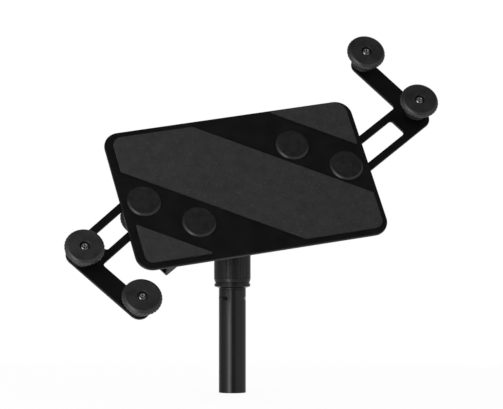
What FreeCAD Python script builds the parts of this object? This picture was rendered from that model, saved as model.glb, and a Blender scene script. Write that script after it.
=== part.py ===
import FreeCAD, Part
import os
from math import acos, atan2, cos, degrees, hypot, pi, radians, sin

# Tablet holder that screws onto the upright of a microphone stand.
#
# The origin is the centre of the upright tube's lower cut end. +Z runs up the tube and the
# tablet plate faces -Y. Lengths are millimetres and angles are degrees.
#
# Three local frames are used besides the stand's own:
# the tilt frame starts at the tilt pivot, with X across and Z square to the plate,
# the plate frame starts at the centre of the plate's front face, with X along its long side,
# an arm frame starts at the arm's clamp bolt, with X along the slot and Y towards the far roller.

# Upright tube of the stand
TUBE_DIAMETER = 23.4
TUBE_WALL = 1.5
TUBE_LENGTH = 89.0
CRIMP_BELOW_TOP = 7.9
CRIMP_HEIGHT = 2.4
CRIMP_SPAN = 38.0
CRIMP_COUNT = 3
CRIMP_FIRST_ANGLE = -145.0

# Twist clutch at the top of the upright tube
SPIGOT_LENGTH = 22.0
NECK_HEIGHT = 1.2
RING_DIAMETER = 31.0
RING_CHAMFER_HEIGHT = 1.4
RING_HEIGHT = 2.4
LIP_DIAMETER = 29.6
LIP_HEIGHT = 1.3
BOSS_DIAMETER = 24.0
BOSS_HEIGHT = 14.0
COLLET_DIAMETER = 21.0
COLLET_TIP_DIAMETER = 18.6
COLLET_HEIGHT = 9.0
COLLET_SPLIT = 1.6
NUT_DIAMETER = 31.6
NUT_HEIGHT = 25.6
NUT_CHAMFER = 0.7
NUT_CHAMFER_HEIGHT = 2.6
NUT_RIB_COUNT = 30
NUT_GROOVE_WIDTH = 0.9
NUT_GROOVE_DEPTH = 0.5
NUT_PLAIN_BAND = 1.3

# Inner tube, its threaded stud and the lock ring
INNER_DIAMETER = 15.9
INNER_WALL = 1.2
INNER_FOOT_HEIGHT = 6.0
INNER_ABOVE_NUT = 4.0
STUD_DIAMETER = 15.8
STUD_LENGTH = 22.0
STUD_ROOT_LENGTH = 18.0
STUD_CHAMFER = 1.0
LOCK_RING_DIAMETER = 25.0
LOCK_RING_HEIGHT = 6.0
LOCK_RING_ABOVE_TUBE = 2.0
LOCK_RING_NOTCH_COUNT = 24
LOCK_RING_NOTCH_RADIUS = 0.8

# Head with its tilt pivot
SOCKET_DIAMETER = 24.0
SOCKET_HEIGHT = 18.0
PIVOT_FORWARD = 21.0
PIVOT_RISE = 21.2
PIVOT_BOSS_RADIUS = 11.0
TONGUE_WIDTH = 18.0
TONGUE_SETBACK = 2.8
CHEEK_THICKNESS = 5.0
KNUCKLE_REACH = 32.2
KNUCKLE_FLANGE_RADIUS = 22.0
KNUCKLE_FLANGE_THICKNESS = 5.0
KNUCKLE_FOOT_HALF_WIDTH = 16.0
TILT_BOLT_HEAD_RADIUS = 6.5
TILT_BOLT_HEAD_HEIGHT = 4.0
TILT_BOLT_HEAD_CHAMFER = 1.0
TILT_WASHER_RADIUS = 8.5
WASHER_THICKNESS = 1.2

# Plate and the way it is held at rest
TILT_BACK = 30.7
ROLL = 9.7
PLATE_WIDTH = 220.0
PLATE_HEIGHT = 134.0
PLATE_THICKNESS = 2.5
PLATE_CORNER_RADIUS = 14.0
PLATE_EDGE_CHAMFER = 0.4

# Foam pads
FOAM_THICKNESS = 2.0
FOAM_MARGIN = 5.6
FOAM_MARGIN_LEFT = 7.6
FOAM_MARGIN_RIGHT = 4.4
FOAM_OUTER_RADIUS = 8.0
FOAM_CUT_RADIUS = 0.5
FOAM_SLANT = 33.0
FOAM_STRIP_ABOVE = 34.4
FOAM_STRIP_BELOW = 31.9
FOAM_CORNER_DISTANCE = 75.5
UPPER_PAD_MARGIN = 1.6
UPPER_PAD_RADIUS = 11.0

# Spine channel behind the plate, along its diagonal
SPINE_LENGTH = 213.0
SPINE_WIDTH = 26.0
SPINE_DEPTH = 14.2
SPINE_WALL = 2.0
SPINE_BEND_RADIUS = 2.0
SPINE_BOLT_DISTANCE = 57.6
SPACER_RADIUS = 6.0
SPINE_WASHER_RADIUS = 6.5

# Fasteners
CLAMP_THREAD_DIAMETER = 6.0
CLAMP_NUT_WIDTH = 10.0
CLAMP_NUT_HEIGHT = 5.5
SWIVEL_THREAD_DIAMETER = 8.0
SWIVEL_NUT_WIDTH = 13.0
SWIVEL_NUT_HEIGHT = 8.0
SWIVEL_HEAD_RADIUS = 9.0
SWIVEL_HEAD_HEIGHT = 4.0
SWIVEL_HEAD_EDGE = 1.0
SWIVEL_CROWN_RADIUS = 4.5
SWIVEL_WASHER_RADIUS = 20.0
SWIVEL_WASHER_THICKNESS = 1.0
REAR_WASHER_PLAY = 0.5
BOLT_TAIL = 2.0
CAP_DIAMETER = 29.0
CAP_THICKNESS = 2.2
CAP_EDGE_HEIGHT = 0.9
CAP_BEVEL = 1.8
CAP_KNEE_INSET = 0.6
CAP_KNEE_DROP = 0.4

# Sliding arms
ARM_BOLT_ALONG = 78.2
ARM_BOLT_ACROSS = 44.6
ARM_SHEET = 2.0
ARM_BAND = 30.6
ARM_SLOT = 16.6
ARM_SLOT_MARGIN = 12.3
ARM_BAR_WIDTH = 18.3
ARM_BRIDGE = 9.0
ARM_JUNCTION_RADIUS = 10.0
ARM_END_RADIUS = 6.0
ARM_INNER_RADIUS = 2.5
ARM_DROOP_LEFT = 2.1
ARM_DROOP_RIGHT = 1.3
ARM_SAG_LEFT = 1.25
ARM_SAG_RIGHT = 0.8
ARM_REACH_LEFT = 77.1
ARM_REACH_RIGHT = 86.6
ARM_REACH_LONGEST = 115.0
KEY_LENGTH = 20.0
KEY_WIDTH = 13.2
KEY_HEIGHT = 1.8
KEY_END_GAP = 1.0
CLAMP_PLATE_LENGTH = 28.0
CLAMP_PLATE_THICKNESS = 3.0

# Rollers, and the clamp knobs made in the same mould
ROLLER_SPACING = 64.1
ROLLER_RADIUS = 16.6
ROLLER_HEIGHT = 23.0
ROLLER_BEVEL = 1.8
ROLLER_BEVEL_HEIGHT = 2.3
ROLLER_KNEE_INSET = 0.6
ROLLER_KNEE_DROP = 0.7
ROLLER_RIM_HEIGHT = 1.8
ROLLER_UNDERSIDE_HEIGHT = 1.3
ROLLER_UNDERSIDE_RADIUS = 12.5
ROLLER_NOTCH_COUNT = 32
ROLLER_NOTCH_RADIUS = 0.9
ROLLER_NOTCH_DEPTH = 0.45
HUB_RADIUS = 10.2
HUB_RING_COUNT = 3
HUB_RING_GROOVE_WIDTH = 0.9
HUB_RING_GROOVE_DEPTH = 0.8
HUB_LIFT = 4.8
SCREW_THREAD_DIAMETER = 4.0
SCREW_HEAD_RADIUS = 3.8
SCREW_HEAD_HEIGHT = 2.6
SCREW_CROWN = 0.9
SCREW_SOCKET_WIDTH = 3.0
SCREW_SOCKET_DEPTH = 1.5
SCREW_BELOW_FACE = 0.9
SCREW_TAIL = 1.0
SCREW_RECESS_RADIUS = 4.3
BUSH_WALL = 1.3
ROLLER_SPACER_RADIUS = 5.5
ROLLER_NUT_WIDTH = 7.0
ROLLER_NUT_HEIGHT = 4.0
INSERT_WALL = 2.0
INSERT_LENGTH = 12.0
KNOB_BORE_DEPTH = 17.0
BORE_END_GAP = 1.0

# Clearances
RUNNING_GAP = 0.06
SLIDING_GAP = 0.1
THREAD_GAP = 0.05

# Heights of the stand's pieces, from the sizes above
RING_FOOT = TUBE_LENGTH + NECK_HEIGHT + RING_CHAMFER_HEIGHT
LIP_FOOT = RING_FOOT + RING_HEIGHT
BOSS_FOOT = LIP_FOOT + LIP_HEIGHT
BOSS_TOP = BOSS_FOOT + BOSS_HEIGHT
COLLET_TOP = BOSS_TOP + COLLET_HEIGHT
NUT_FOOT = BOSS_FOOT + SLIDING_GAP
NUT_TOP = NUT_FOOT + NUT_HEIGHT
INNER_TOP = NUT_TOP + INNER_ABOVE_NUT
STUD_TOP = INNER_TOP + STUD_LENGTH
LOCK_RING_FOOT = INNER_TOP + LOCK_RING_ABOVE_TUBE
LOCK_RING_TOP = LOCK_RING_FOOT + LOCK_RING_HEIGHT
SOCKET_FOOT = LOCK_RING_TOP + SLIDING_GAP
SOCKET_TOP = SOCKET_FOOT + SOCKET_HEIGHT
PIVOT_HEIGHT = SOCKET_FOOT + PIVOT_RISE

# Depths behind the plate's front face, along the plate's normal
PLATE_BACK = -PLATE_THICKNESS
SPINE_BACK = PLATE_BACK - SPINE_DEPTH
SWIVEL_WASHER_FRONT = SPINE_BACK - SLIDING_GAP
FLANGE_FRONT = SWIVEL_WASHER_FRONT - SWIVEL_WASHER_THICKNESS
ARM_FRONT = PLATE_BACK - SLIDING_GAP
ARM_BACK = ARM_FRONT - ARM_SHEET
CLAMP_PLATE_FRONT = ARM_BACK - SLIDING_GAP
CLAMP_PLATE_BACK = CLAMP_PLATE_FRONT - CLAMP_PLATE_THICKNESS
KNOB_FOOT = CLAMP_PLATE_BACK - SLIDING_GAP
PIVOT_TO_FACE = KNUCKLE_REACH - FLANGE_FRONT

# Other sizes that follow from the ones above
CLAMP_HOLE_RADIUS = CLAMP_THREAD_DIAMETER / 2 + RUNNING_GAP
SWIVEL_HOLE_RADIUS = SWIVEL_THREAD_DIAMETER / 2 + RUNNING_GAP
INNER_HOLE_RADIUS = INNER_DIAMETER / 2 + RUNNING_GAP
STUD_HOLE_RADIUS = STUD_DIAMETER / 2 + THREAD_GAP
CHEEK_INNER = TONGUE_WIDTH / 2 + SLIDING_GAP
CHEEK_OUTER = CHEEK_INNER + CHEEK_THICKNESS
SLOT_LENGTH = ARM_REACH_LONGEST - ARM_BAR_WIDTH / 2 - ARM_SLOT_MARGIN + KEY_LENGTH / 2 + KEY_END_GAP
BUSH_RADIUS = SCREW_THREAD_DIAMETER / 2 + BUSH_WALL
RIM_TOP = ROLLER_HEIGHT - ROLLER_BEVEL_HEIGHT
RIM_FOOT = RIM_TOP - ROLLER_RIM_HEIGHT
CAP_FOOT = RIM_FOOT - ROLLER_UNDERSIDE_HEIGHT
SCREW_SEAT = ROLLER_HEIGHT - SCREW_BELOW_FACE - SCREW_HEAD_HEIGHT
DIAGONAL = degrees(atan2(PLATE_HEIGHT, PLATE_WIDTH))

X_AXIS = FreeCAD.Vector(1, 0, 0)
Y_AXIS = FreeCAD.Vector(0, 1, 0)
Z_AXIS = FreeCAD.Vector(0, 0, 1)
ORIGIN = FreeCAD.Vector(0, 0, 0)


def turned(profile):
    """Solid of revolution about Z from a closed outline of (radius, height) points."""
    points = [FreeCAD.Vector(radius, 0, height) for radius, height in profile]
    face = Part.Face(Part.makePolygon(points + points[:1]))
    return face.revolve(ORIGIN, Z_AXIS, 360)


def cylinder(radius, low, high, x=0.0, y=0.0):
    return Part.makeCylinder(radius, high - low, FreeCAD.Vector(x, y, low), Z_AXIS)


def ring(inner_radius, outer_radius, low, high):
    return cylinder(outer_radius, low, high).cut(cylinder(inner_radius, low, high))


def block(length, width, low, high, x=0.0, y=0.0):
    """Upright block centred on (x, y)."""
    corner = FreeCAD.Vector(x - length / 2, y - width / 2, low)
    return Part.makeBox(length, width, high - low, corner)


def hexagon(width, low, high):
    """Hexagonal prism, width across its flats."""
    radius = width / 2 / cos(pi / 6)
    points = [FreeCAD.Vector(radius * cos(k * pi / 3), radius * sin(k * pi / 3), low) for k in range(6)]
    return Part.Face(Part.makePolygon(points + points[:1])).extrude(Z_AXIS * (high - low))


def sheet(corners, low, high):
    """Flat piece from its outline, a list of (x, y, corner radius)."""
    edges = []
    ends = []
    count = len(corners)
    for index, (x, y, radius) in enumerate(corners):
        here = FreeCAD.Vector(x, y, low)
        before = FreeCAD.Vector(*corners[index - 1][:2], low) - here
        after = FreeCAD.Vector(*corners[(index + 1) % count][:2], low) - here
        if radius <= 0:
            ends.append((here, here))
            edges.append(None)
            continue
        before.normalize()
        after.normalize()
        half = acos(before.dot(after)) / 2
        bisector = before + after
        bisector.normalize()
        run = radius / sin(half) * cos(half)
        middle = here + bisector * (radius / sin(half) - radius)
        ends.append((here + before * run, here + after * run))
        edges.append(Part.Arc(here + before * run, middle, here + after * run).toShape())
    wire = []
    for index in range(count):
        if edges[index] is not None:
            wire.append(edges[index])
        start = ends[index][1]
        finish = ends[(index + 1) % count][0]
        if start.distanceToPoint(finish) > 1e-6:
            wire.append(Part.makeLine(start, finish))
    return Part.Face(Part.Wire(wire)).extrude(Z_AXIS * (high - low))


def turned_copies(piece, count, first=0.0):
    """Copies of a piece, evenly spaced around Z."""
    copies = []
    for index in range(count):
        copy = piece.copy()
        copy.rotate(ORIGIN, Z_AXIS, first + index * 360.0 / count)
        copies.append(copy)
    return copies


def placed(shape, placement):
    copy = shape.copy()
    copy.Placement = placement.multiply(copy.Placement)
    return copy


def at(x, y, z=0.0):
    return FreeCAD.Placement(FreeCAD.Vector(x, y, z), FreeCAD.Rotation())


def tangent_web(centre_radius, half_width, distance, low, high):
    """Web from a round boss at the origin to a foot of the given half width at y = distance."""
    reach = hypot(half_width, distance)
    turn = acos(centre_radius / reach)
    bearing = atan2(distance, half_width)
    touch_x = centre_radius * cos(bearing - turn)
    touch_y = centre_radius * sin(bearing - turn)
    corners = [
        (touch_x, touch_y, 0), (half_width, distance, 0), (-half_width, distance, 0), (-touch_x, touch_y, 0)]
    return sheet(corners, low, high).fuse(cylinder(centre_radius, low, high)).removeSplitter()


# Where the frames stand at rest
TILT_TURN = FreeCAD.Rotation(X_AXIS, 90 - TILT_BACK)
PIVOT = FreeCAD.Vector(0, -PIVOT_FORWARD, PIVOT_HEIGHT)
TILT_FRAME = FreeCAD.Placement(PIVOT, TILT_TURN)
PLATE_TURN = FreeCAD.Rotation(Z_AXIS, ROLL)
PLATE_FRAME = TILT_FRAME.multiply(FreeCAD.Placement(FreeCAD.Vector(0, 0, PIVOT_TO_FACE), PLATE_TURN))
DIAGONAL_FRAME = PLATE_FRAME.multiply(FreeCAD.Placement(ORIGIN, FreeCAD.Rotation(Z_AXIS, DIAGONAL)))


def clamp_frame(side):
    """Frame at an arm's clamp bolt, with X outward along the plate's diagonal."""
    outward = {"left": 180.0, "right": 0.0}[side]
    turn = FreeCAD.Placement(ORIGIN, FreeCAD.Rotation(Z_AXIS, outward))
    return DIAGONAL_FRAME.multiply(turn).multiply(at(ARM_BOLT_ALONG, -ARM_BOLT_ACROSS))


def arm_frame(side):
    """Frame of an arm, which sags and turns by its slot's play about the key."""
    droop = {"left": ARM_DROOP_LEFT, "right": -ARM_DROOP_RIGHT}[side]
    sag = {"left": ARM_SAG_LEFT, "right": -ARM_SAG_RIGHT}[side]
    turn = FreeCAD.Placement(ORIGIN, FreeCAD.Rotation(Z_AXIS, droop))
    return clamp_frame(side).multiply(turn).multiply(at(0, sag))


def stand_tube():
    outer = TUBE_DIAMETER / 2
    tube = ring(outer - TUBE_WALL, outer, 0, TUBE_LENGTH)
    height = TUBE_LENGTH - CRIMP_BELOW_TOP
    low = height - CRIMP_HEIGHT / 2
    inside = outer - TUBE_WALL * 1.5
    section = Part.makePlane(TUBE_WALL * 2, CRIMP_HEIGHT, FreeCAD.Vector(inside, 0, low), -Y_AXIS, X_AXIS)
    slot = section.revolve(ORIGIN, Z_AXIS, CRIMP_SPAN)
    for angle in (0, CRIMP_SPAN):
        end = Part.makeCylinder(CRIMP_HEIGHT / 2, TUBE_WALL * 2, FreeCAD.Vector(inside, 0, height), X_AXIS)
        end.rotate(ORIGIN, Z_AXIS, angle)
        slot = slot.fuse(end)
    return tube.cut(turned_copies(slot, CRIMP_COUNT, CRIMP_FIRST_ANGLE - CRIMP_SPAN / 2))


def clutch_base():
    tube_inside = TUBE_DIAMETER / 2 - TUBE_WALL - THREAD_GAP
    neck_top = TUBE_LENGTH + NECK_HEIGHT
    return turned([
        (INNER_HOLE_RADIUS, TUBE_LENGTH - SPIGOT_LENGTH), (tube_inside, TUBE_LENGTH - SPIGOT_LENGTH),
        (tube_inside, TUBE_LENGTH), (TUBE_DIAMETER / 2, TUBE_LENGTH), (TUBE_DIAMETER / 2, neck_top),
        (RING_DIAMETER / 2, RING_FOOT), (RING_DIAMETER / 2, LIP_FOOT), (LIP_DIAMETER / 2, LIP_FOOT),
        (LIP_DIAMETER / 2, BOSS_FOOT), (BOSS_DIAMETER / 2, BOSS_FOOT), (BOSS_DIAMETER / 2, BOSS_TOP),
        (INNER_HOLE_RADIUS, BOSS_TOP)])


def clutch_collet():
    collet = turned([
        (INNER_HOLE_RADIUS, BOSS_TOP), (COLLET_DIAMETER / 2, BOSS_TOP),
        (COLLET_DIAMETER / 2, BOSS_TOP + COLLET_HEIGHT / 2), (COLLET_TIP_DIAMETER / 2, COLLET_TOP),
        (INNER_HOLE_RADIUS, COLLET_TOP)])
    return collet.cut(block(COLLET_DIAMETER, COLLET_SPLIT, BOSS_TOP, COLLET_TOP, x=COLLET_DIAMETER / 2))


def clutch_nut():
    outer = NUT_DIAMETER / 2
    boss_hole = BOSS_DIAMETER / 2 + THREAD_GAP
    collet_hole = COLLET_DIAMETER / 2 + SLIDING_GAP
    tip_hole = COLLET_TIP_DIAMETER / 2 + SLIDING_GAP
    tube_hole = INNER_HOLE_RADIUS + SLIDING_GAP
    nut = turned([
        (boss_hole, NUT_FOOT), (outer - NUT_CHAMFER, NUT_FOOT), (outer, NUT_FOOT + NUT_CHAMFER_HEIGHT),
        (outer, NUT_TOP - NUT_CHAMFER), (outer - NUT_CHAMFER, NUT_TOP), (tube_hole, NUT_TOP),
        (tube_hole, COLLET_TOP + SLIDING_GAP), (tip_hole, COLLET_TOP + SLIDING_GAP),
        (collet_hole, BOSS_TOP + COLLET_HEIGHT / 2 + SLIDING_GAP), (collet_hole, BOSS_TOP + SLIDING_GAP),
        (boss_hole, BOSS_TOP + SLIDING_GAP)])
    groove_foot = NUT_FOOT + NUT_CHAMFER_HEIGHT + NUT_PLAIN_BAND
    groove = block(NUT_GROOVE_DEPTH * 2, NUT_GROOVE_WIDTH, groove_foot, NUT_TOP - NUT_PLAIN_BAND, x=outer)
    return nut.cut(turned_copies(groove, NUT_RIB_COUNT))


def inner_tube():
    outer = INNER_DIAMETER / 2
    return ring(outer - INNER_WALL, outer, INNER_FOOT_HEIGHT, INNER_TOP)


def threaded_stud():
    root = INNER_DIAMETER / 2 - INNER_WALL
    radius = STUD_DIAMETER / 2
    return turned([
        (0, INNER_TOP - STUD_ROOT_LENGTH), (root, INNER_TOP - STUD_ROOT_LENGTH), (root, INNER_TOP),
        (radius, INNER_TOP), (radius, STUD_TOP - STUD_CHAMFER), (radius - STUD_CHAMFER, STUD_TOP),
        (0, STUD_TOP)])


def lock_ring():
    outer = LOCK_RING_DIAMETER / 2
    edge = outer - LOCK_RING_NOTCH_RADIUS
    low = LOCK_RING_FOOT + LOCK_RING_NOTCH_RADIUS
    high = LOCK_RING_TOP - LOCK_RING_NOTCH_RADIUS
    body = turned([
        (STUD_HOLE_RADIUS, LOCK_RING_FOOT), (edge, LOCK_RING_FOOT), (outer, low), (outer, high),
        (edge, LOCK_RING_TOP), (STUD_HOLE_RADIUS, LOCK_RING_TOP)])
    notch = cylinder(LOCK_RING_NOTCH_RADIUS, LOCK_RING_FOOT, LOCK_RING_TOP, x=outer)
    return body.cut(turned_copies(notch, LOCK_RING_NOTCH_COUNT))


def head_socket():
    """Threaded socket with a tongue that leans forward to the tilt pivot."""
    body = cylinder(SOCKET_DIAMETER / 2, SOCKET_FOOT, SOCKET_TOP)
    rise = PIVOT_HEIGHT - SOCKET_TOP
    half = TONGUE_WIDTH / 2
    back = SOCKET_DIAMETER / 2 - TONGUE_SETBACK
    web = Part.makePolygon([
        FreeCAD.Vector(-half, -PIVOT_FORWARD, PIVOT_HEIGHT + PIVOT_BOSS_RADIUS),
        FreeCAD.Vector(-half, back - rise, SOCKET_TOP + rise), FreeCAD.Vector(-half, back, SOCKET_TOP),
        FreeCAD.Vector(-half, back, PIVOT_HEIGHT - PIVOT_BOSS_RADIUS),
        FreeCAD.Vector(-half, -PIVOT_FORWARD, PIVOT_HEIGHT - PIVOT_BOSS_RADIUS),
        FreeCAD.Vector(-half, -PIVOT_FORWARD, PIVOT_HEIGHT + PIVOT_BOSS_RADIUS)])
    web = Part.Face(web).extrude(X_AXIS * TONGUE_WIDTH)
    pivot_start = FreeCAD.Vector(-half, -PIVOT_FORWARD, PIVOT_HEIGHT)
    boss = Part.makeCylinder(PIVOT_BOSS_RADIUS, TONGUE_WIDTH, pivot_start, X_AXIS)
    bolt_hole = Part.makeCylinder(CLAMP_HOLE_RADIUS, TONGUE_WIDTH, pivot_start, X_AXIS)
    stud_hole = cylinder(STUD_HOLE_RADIUS, SOCKET_FOOT, STUD_TOP + SLIDING_GAP)
    return body.fuse([web, boss]).cut([bolt_hole, stud_hole]).removeSplitter()


def tilt_knuckle():
    """Fork whose round flange carries the plate, in the tilt frame."""
    flange_back = KNUCKLE_REACH - KNUCKLE_FLANGE_THICKNESS
    cheek = tangent_web(PIVOT_BOSS_RADIUS, KNUCKLE_FOOT_HALF_WIDTH, flange_back, 0, CHEEK_THICKNESS)
    cheeks = [placed(cheek, sideways(start)) for start in (-CHEEK_OUTER, CHEEK_INNER)]
    flange = cylinder(KNUCKLE_FLANGE_RADIUS, flange_back, KNUCKLE_REACH)
    pivot_hole = placed(cylinder(CLAMP_HOLE_RADIUS, -CHEEK_OUTER, CHEEK_OUTER), sideways(0))
    swivel_hole = cylinder(SWIVEL_HOLE_RADIUS, flange_back, KNUCKLE_REACH)
    return flange.fuse(cheeks).cut([pivot_hole, swivel_hole]).removeSplitter()


def tilt_bolt():
    """Bolt through the fork and the tongue, with its head on the -X side."""
    radius = CLAMP_THREAD_DIAMETER / 2
    head_foot = -CHEEK_OUTER - WASHER_THICKNESS
    head_end = head_foot - TILT_BOLT_HEAD_HEIGHT
    tail = CHEEK_OUTER + WASHER_THICKNESS + SLIDING_GAP + KNOB_BORE_DEPTH - BORE_END_GAP
    bolt = turned([
        (0, head_end), (TILT_BOLT_HEAD_RADIUS - TILT_BOLT_HEAD_CHAMFER, head_end),
        (TILT_BOLT_HEAD_RADIUS, head_end + TILT_BOLT_HEAD_CHAMFER), (TILT_BOLT_HEAD_RADIUS, head_foot),
        (radius, head_foot), (radius, tail), (0, tail)])
    return placed(bolt, sideways(0))


def tilt_washers():
    washer = ring(CLAMP_HOLE_RADIUS, TILT_WASHER_RADIUS, 0, WASHER_THICKNESS)
    return [placed(washer, sideways(-CHEEK_OUTER - WASHER_THICKNESS)), placed(washer, sideways(CHEEK_OUTER))]


def back_plate():
    half_width = PLATE_WIDTH / 2
    half_height = PLATE_HEIGHT / 2
    corners = []
    for x, y in ((1, 1), (-1, 1), (-1, -1), (1, -1)):
        corners.append((x * half_width, y * half_height, PLATE_CORNER_RADIUS))
    plate = sheet(corners, PLATE_BACK, 0)
    rims = [edge for face in plate.Faces if abs(face.normalAt(0, 0).z) > 0.99 for edge in face.Edges]
    plate = plate.makeChamfer(PLATE_EDGE_CHAMFER, rims)
    holes = []
    for side in ("left", "right"):
        neck = block(CLAMP_HOLE_RADIUS * 2, CLAMP_HOLE_RADIUS * 2, PLATE_BACK, 0)
        holes.append(placed(neck, PLATE_FRAME.inverse().multiply(clamp_frame(side))))
    for x in spine_bolt_places():
        hole = cylinder(CLAMP_HOLE_RADIUS, PLATE_BACK, 0, x=x)
        holes.append(placed(hole, PLATE_FRAME.inverse().multiply(DIAGONAL_FRAME)))
    return plate.cut(holes)


def foam_pads():
    """One wide strip across the plate and a pad in each of the two corners that it leaves."""
    left = FOAM_MARGIN_LEFT - PLATE_WIDTH / 2
    right = PLATE_WIDTH / 2 - FOAM_MARGIN_RIGHT
    low = FOAM_MARGIN - PLATE_HEIGHT / 2
    high = PLATE_HEIGHT / 2 - FOAM_MARGIN
    slope = radians(FOAM_SLANT)

    def along(distance, y):
        """Where a slanting cut this far from the plate's centre crosses a height."""
        return (distance - y * cos(slope)) / sin(slope)

    def up(distance, x):
        """Where a slanting cut this far from the plate's centre crosses an upright line."""
        return (distance - x * sin(slope)) / cos(slope)

    pads = [sheet([
        (along(FOAM_STRIP_ABOVE, high), high, FOAM_CUT_RADIUS), (left, high, FOAM_OUTER_RADIUS),
        (left, up(-FOAM_STRIP_BELOW, left), FOAM_CUT_RADIUS),
        (along(-FOAM_STRIP_BELOW, low), low, FOAM_CUT_RADIUS), (right, low, FOAM_OUTER_RADIUS),
        (right, up(FOAM_STRIP_ABOVE, right), FOAM_CUT_RADIUS)], 0, FOAM_THICKNESS)]
    for x, y, distance, radius in (
            (left, low, -FOAM_CORNER_DISTANCE, FOAM_OUTER_RADIUS),
            (right, PLATE_HEIGHT / 2 - UPPER_PAD_MARGIN, FOAM_CORNER_DISTANCE, UPPER_PAD_RADIUS)):
        pads.append(sheet([
            (along(distance, y), y, FOAM_CUT_RADIUS), (x, y, radius),
            (x, up(distance, x), FOAM_CUT_RADIUS)], 0, FOAM_THICKNESS))
    return pads


def spine_channel():
    """Folded channel with its web at the back, in the diagonal frame."""
    outside = sheet([
        (-SPINE_WIDTH / 2, PLATE_BACK, 0), (SPINE_WIDTH / 2, PLATE_BACK, 0),
        (SPINE_WIDTH / 2, SPINE_BACK, SPINE_BEND_RADIUS), (-SPINE_WIDTH / 2, SPINE_BACK, SPINE_BEND_RADIUS)],
        0, SPINE_LENGTH)
    inside = block(SPINE_WIDTH - SPINE_WALL * 2, SPINE_DEPTH - SPINE_WALL, 0, SPINE_LENGTH,
                   y=PLATE_BACK - (SPINE_DEPTH - SPINE_WALL) / 2)
    channel = placed(outside.cut(inside), sideways(-SPINE_LENGTH / 2))
    holes = [cylinder(CLAMP_HOLE_RADIUS, SPINE_BACK, PLATE_BACK, x=x) for x in spine_bolt_places()]
    holes.append(cylinder(SWIVEL_HOLE_RADIUS, SPINE_BACK, PLATE_BACK))
    return channel.cut(holes)


def spine_bolt_places():
    return (-SPINE_BOLT_DISTANCE, SPINE_BOLT_DISTANCE)


def cap_bolt(tail, neck=0.0):
    """Bolt with a wide low cap on the plate's front; a neck is a square length below the cap."""
    cap_radius = CAP_DIAMETER / 2
    thread_radius = CLAMP_THREAD_DIAMETER / 2
    bolt = turned([
        (0, tail), (thread_radius, tail), (thread_radius, 0), (cap_radius, 0), (cap_radius, CAP_EDGE_HEIGHT),
        (cap_radius - CAP_KNEE_INSET, CAP_THICKNESS - CAP_KNEE_DROP),
        (cap_radius - CAP_BEVEL, CAP_THICKNESS), (0, CAP_THICKNESS)])
    if neck:
        bolt = bolt.fuse(block(CLAMP_THREAD_DIAMETER, CLAMP_THREAD_DIAMETER, -neck, 0)).removeSplitter()
    return bolt


def spine_fasteners():
    """Bolts, spacers, washers and nuts that hold the channel to the plate, in the diagonal frame."""
    washer_back = SPINE_BACK - WASHER_THICKNESS
    nut_back = washer_back - CLAMP_NUT_HEIGHT
    nut = hexagon(CLAMP_NUT_WIDTH, nut_back, washer_back)
    nut = nut.cut(cylinder(CLAMP_THREAD_DIAMETER / 2, nut_back, washer_back))
    pieces = {
        "spine_bolts": cap_bolt(nut_back - BOLT_TAIL),
        "spine_spacers": ring(CLAMP_HOLE_RADIUS, SPACER_RADIUS, SPINE_BACK + SPINE_WALL, PLATE_BACK),
        "spine_washers": ring(CLAMP_HOLE_RADIUS, SPINE_WASHER_RADIUS, washer_back, SPINE_BACK),
        "spine_nuts": nut,
    }
    return {name: [placed(piece, at(x, 0)) for x in spine_bolt_places()] for name, piece in pieces.items()}


def swivel_fasteners():
    """Bolt that the plate turns on, with its washers and nut, in the plate frame."""
    radius = SWIVEL_THREAD_DIAMETER / 2
    seat = SPINE_BACK + SPINE_WALL
    flange_back = FLANGE_FRONT - KNUCKLE_FLANGE_THICKNESS
    washer_front = flange_back - SLIDING_GAP
    washer_back = washer_front - WASHER_THICKNESS
    nut_back = washer_back - SWIVEL_NUT_HEIGHT
    bolt = turned([
        (0, nut_back - BOLT_TAIL), (radius, nut_back - BOLT_TAIL), (radius, seat),
        (SWIVEL_HEAD_RADIUS, seat), (SWIVEL_HEAD_RADIUS, seat + SWIVEL_HEAD_EDGE),
        (SWIVEL_CROWN_RADIUS, seat + SWIVEL_HEAD_HEIGHT), (0, seat + SWIVEL_HEAD_HEIGHT)])
    nut = hexagon(SWIVEL_NUT_WIDTH, nut_back, washer_back).cut(cylinder(radius, nut_back, washer_back))
    rear_radius = CHEEK_INNER - REAR_WASHER_PLAY
    return {
        "swivel_bolt": bolt,
        "swivel_washer": ring(SWIVEL_HOLE_RADIUS, SWIVEL_WASHER_RADIUS, FLANGE_FRONT, SWIVEL_WASHER_FRONT),
        "swivel_rear_washer": ring(SWIVEL_HOLE_RADIUS, rear_radius, washer_back, washer_front),
        "swivel_nut": nut,
    }


def clamp_plate():
    """Plate that presses the arm, with a key that guides the arm's slot, in a clamp frame."""
    corners = []
    for x, y in ((1, 1), (-1, 1), (-1, -1), (1, -1)):
        corners.append((x * CLAMP_PLATE_LENGTH / 2, y * ARM_BAND / 2, ARM_INNER_RADIUS))
    plate = sheet(corners, CLAMP_PLATE_BACK, CLAMP_PLATE_FRONT)
    key = block(KEY_LENGTH, KEY_WIDTH, CLAMP_PLATE_FRONT, CLAMP_PLATE_FRONT + KEY_HEIGHT)
    hole = block(CLAMP_HOLE_RADIUS * 2, CLAMP_HOLE_RADIUS * 2, CLAMP_PLATE_BACK, PLATE_BACK)
    return plate.fuse(key).cut(hole).removeSplitter()


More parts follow.
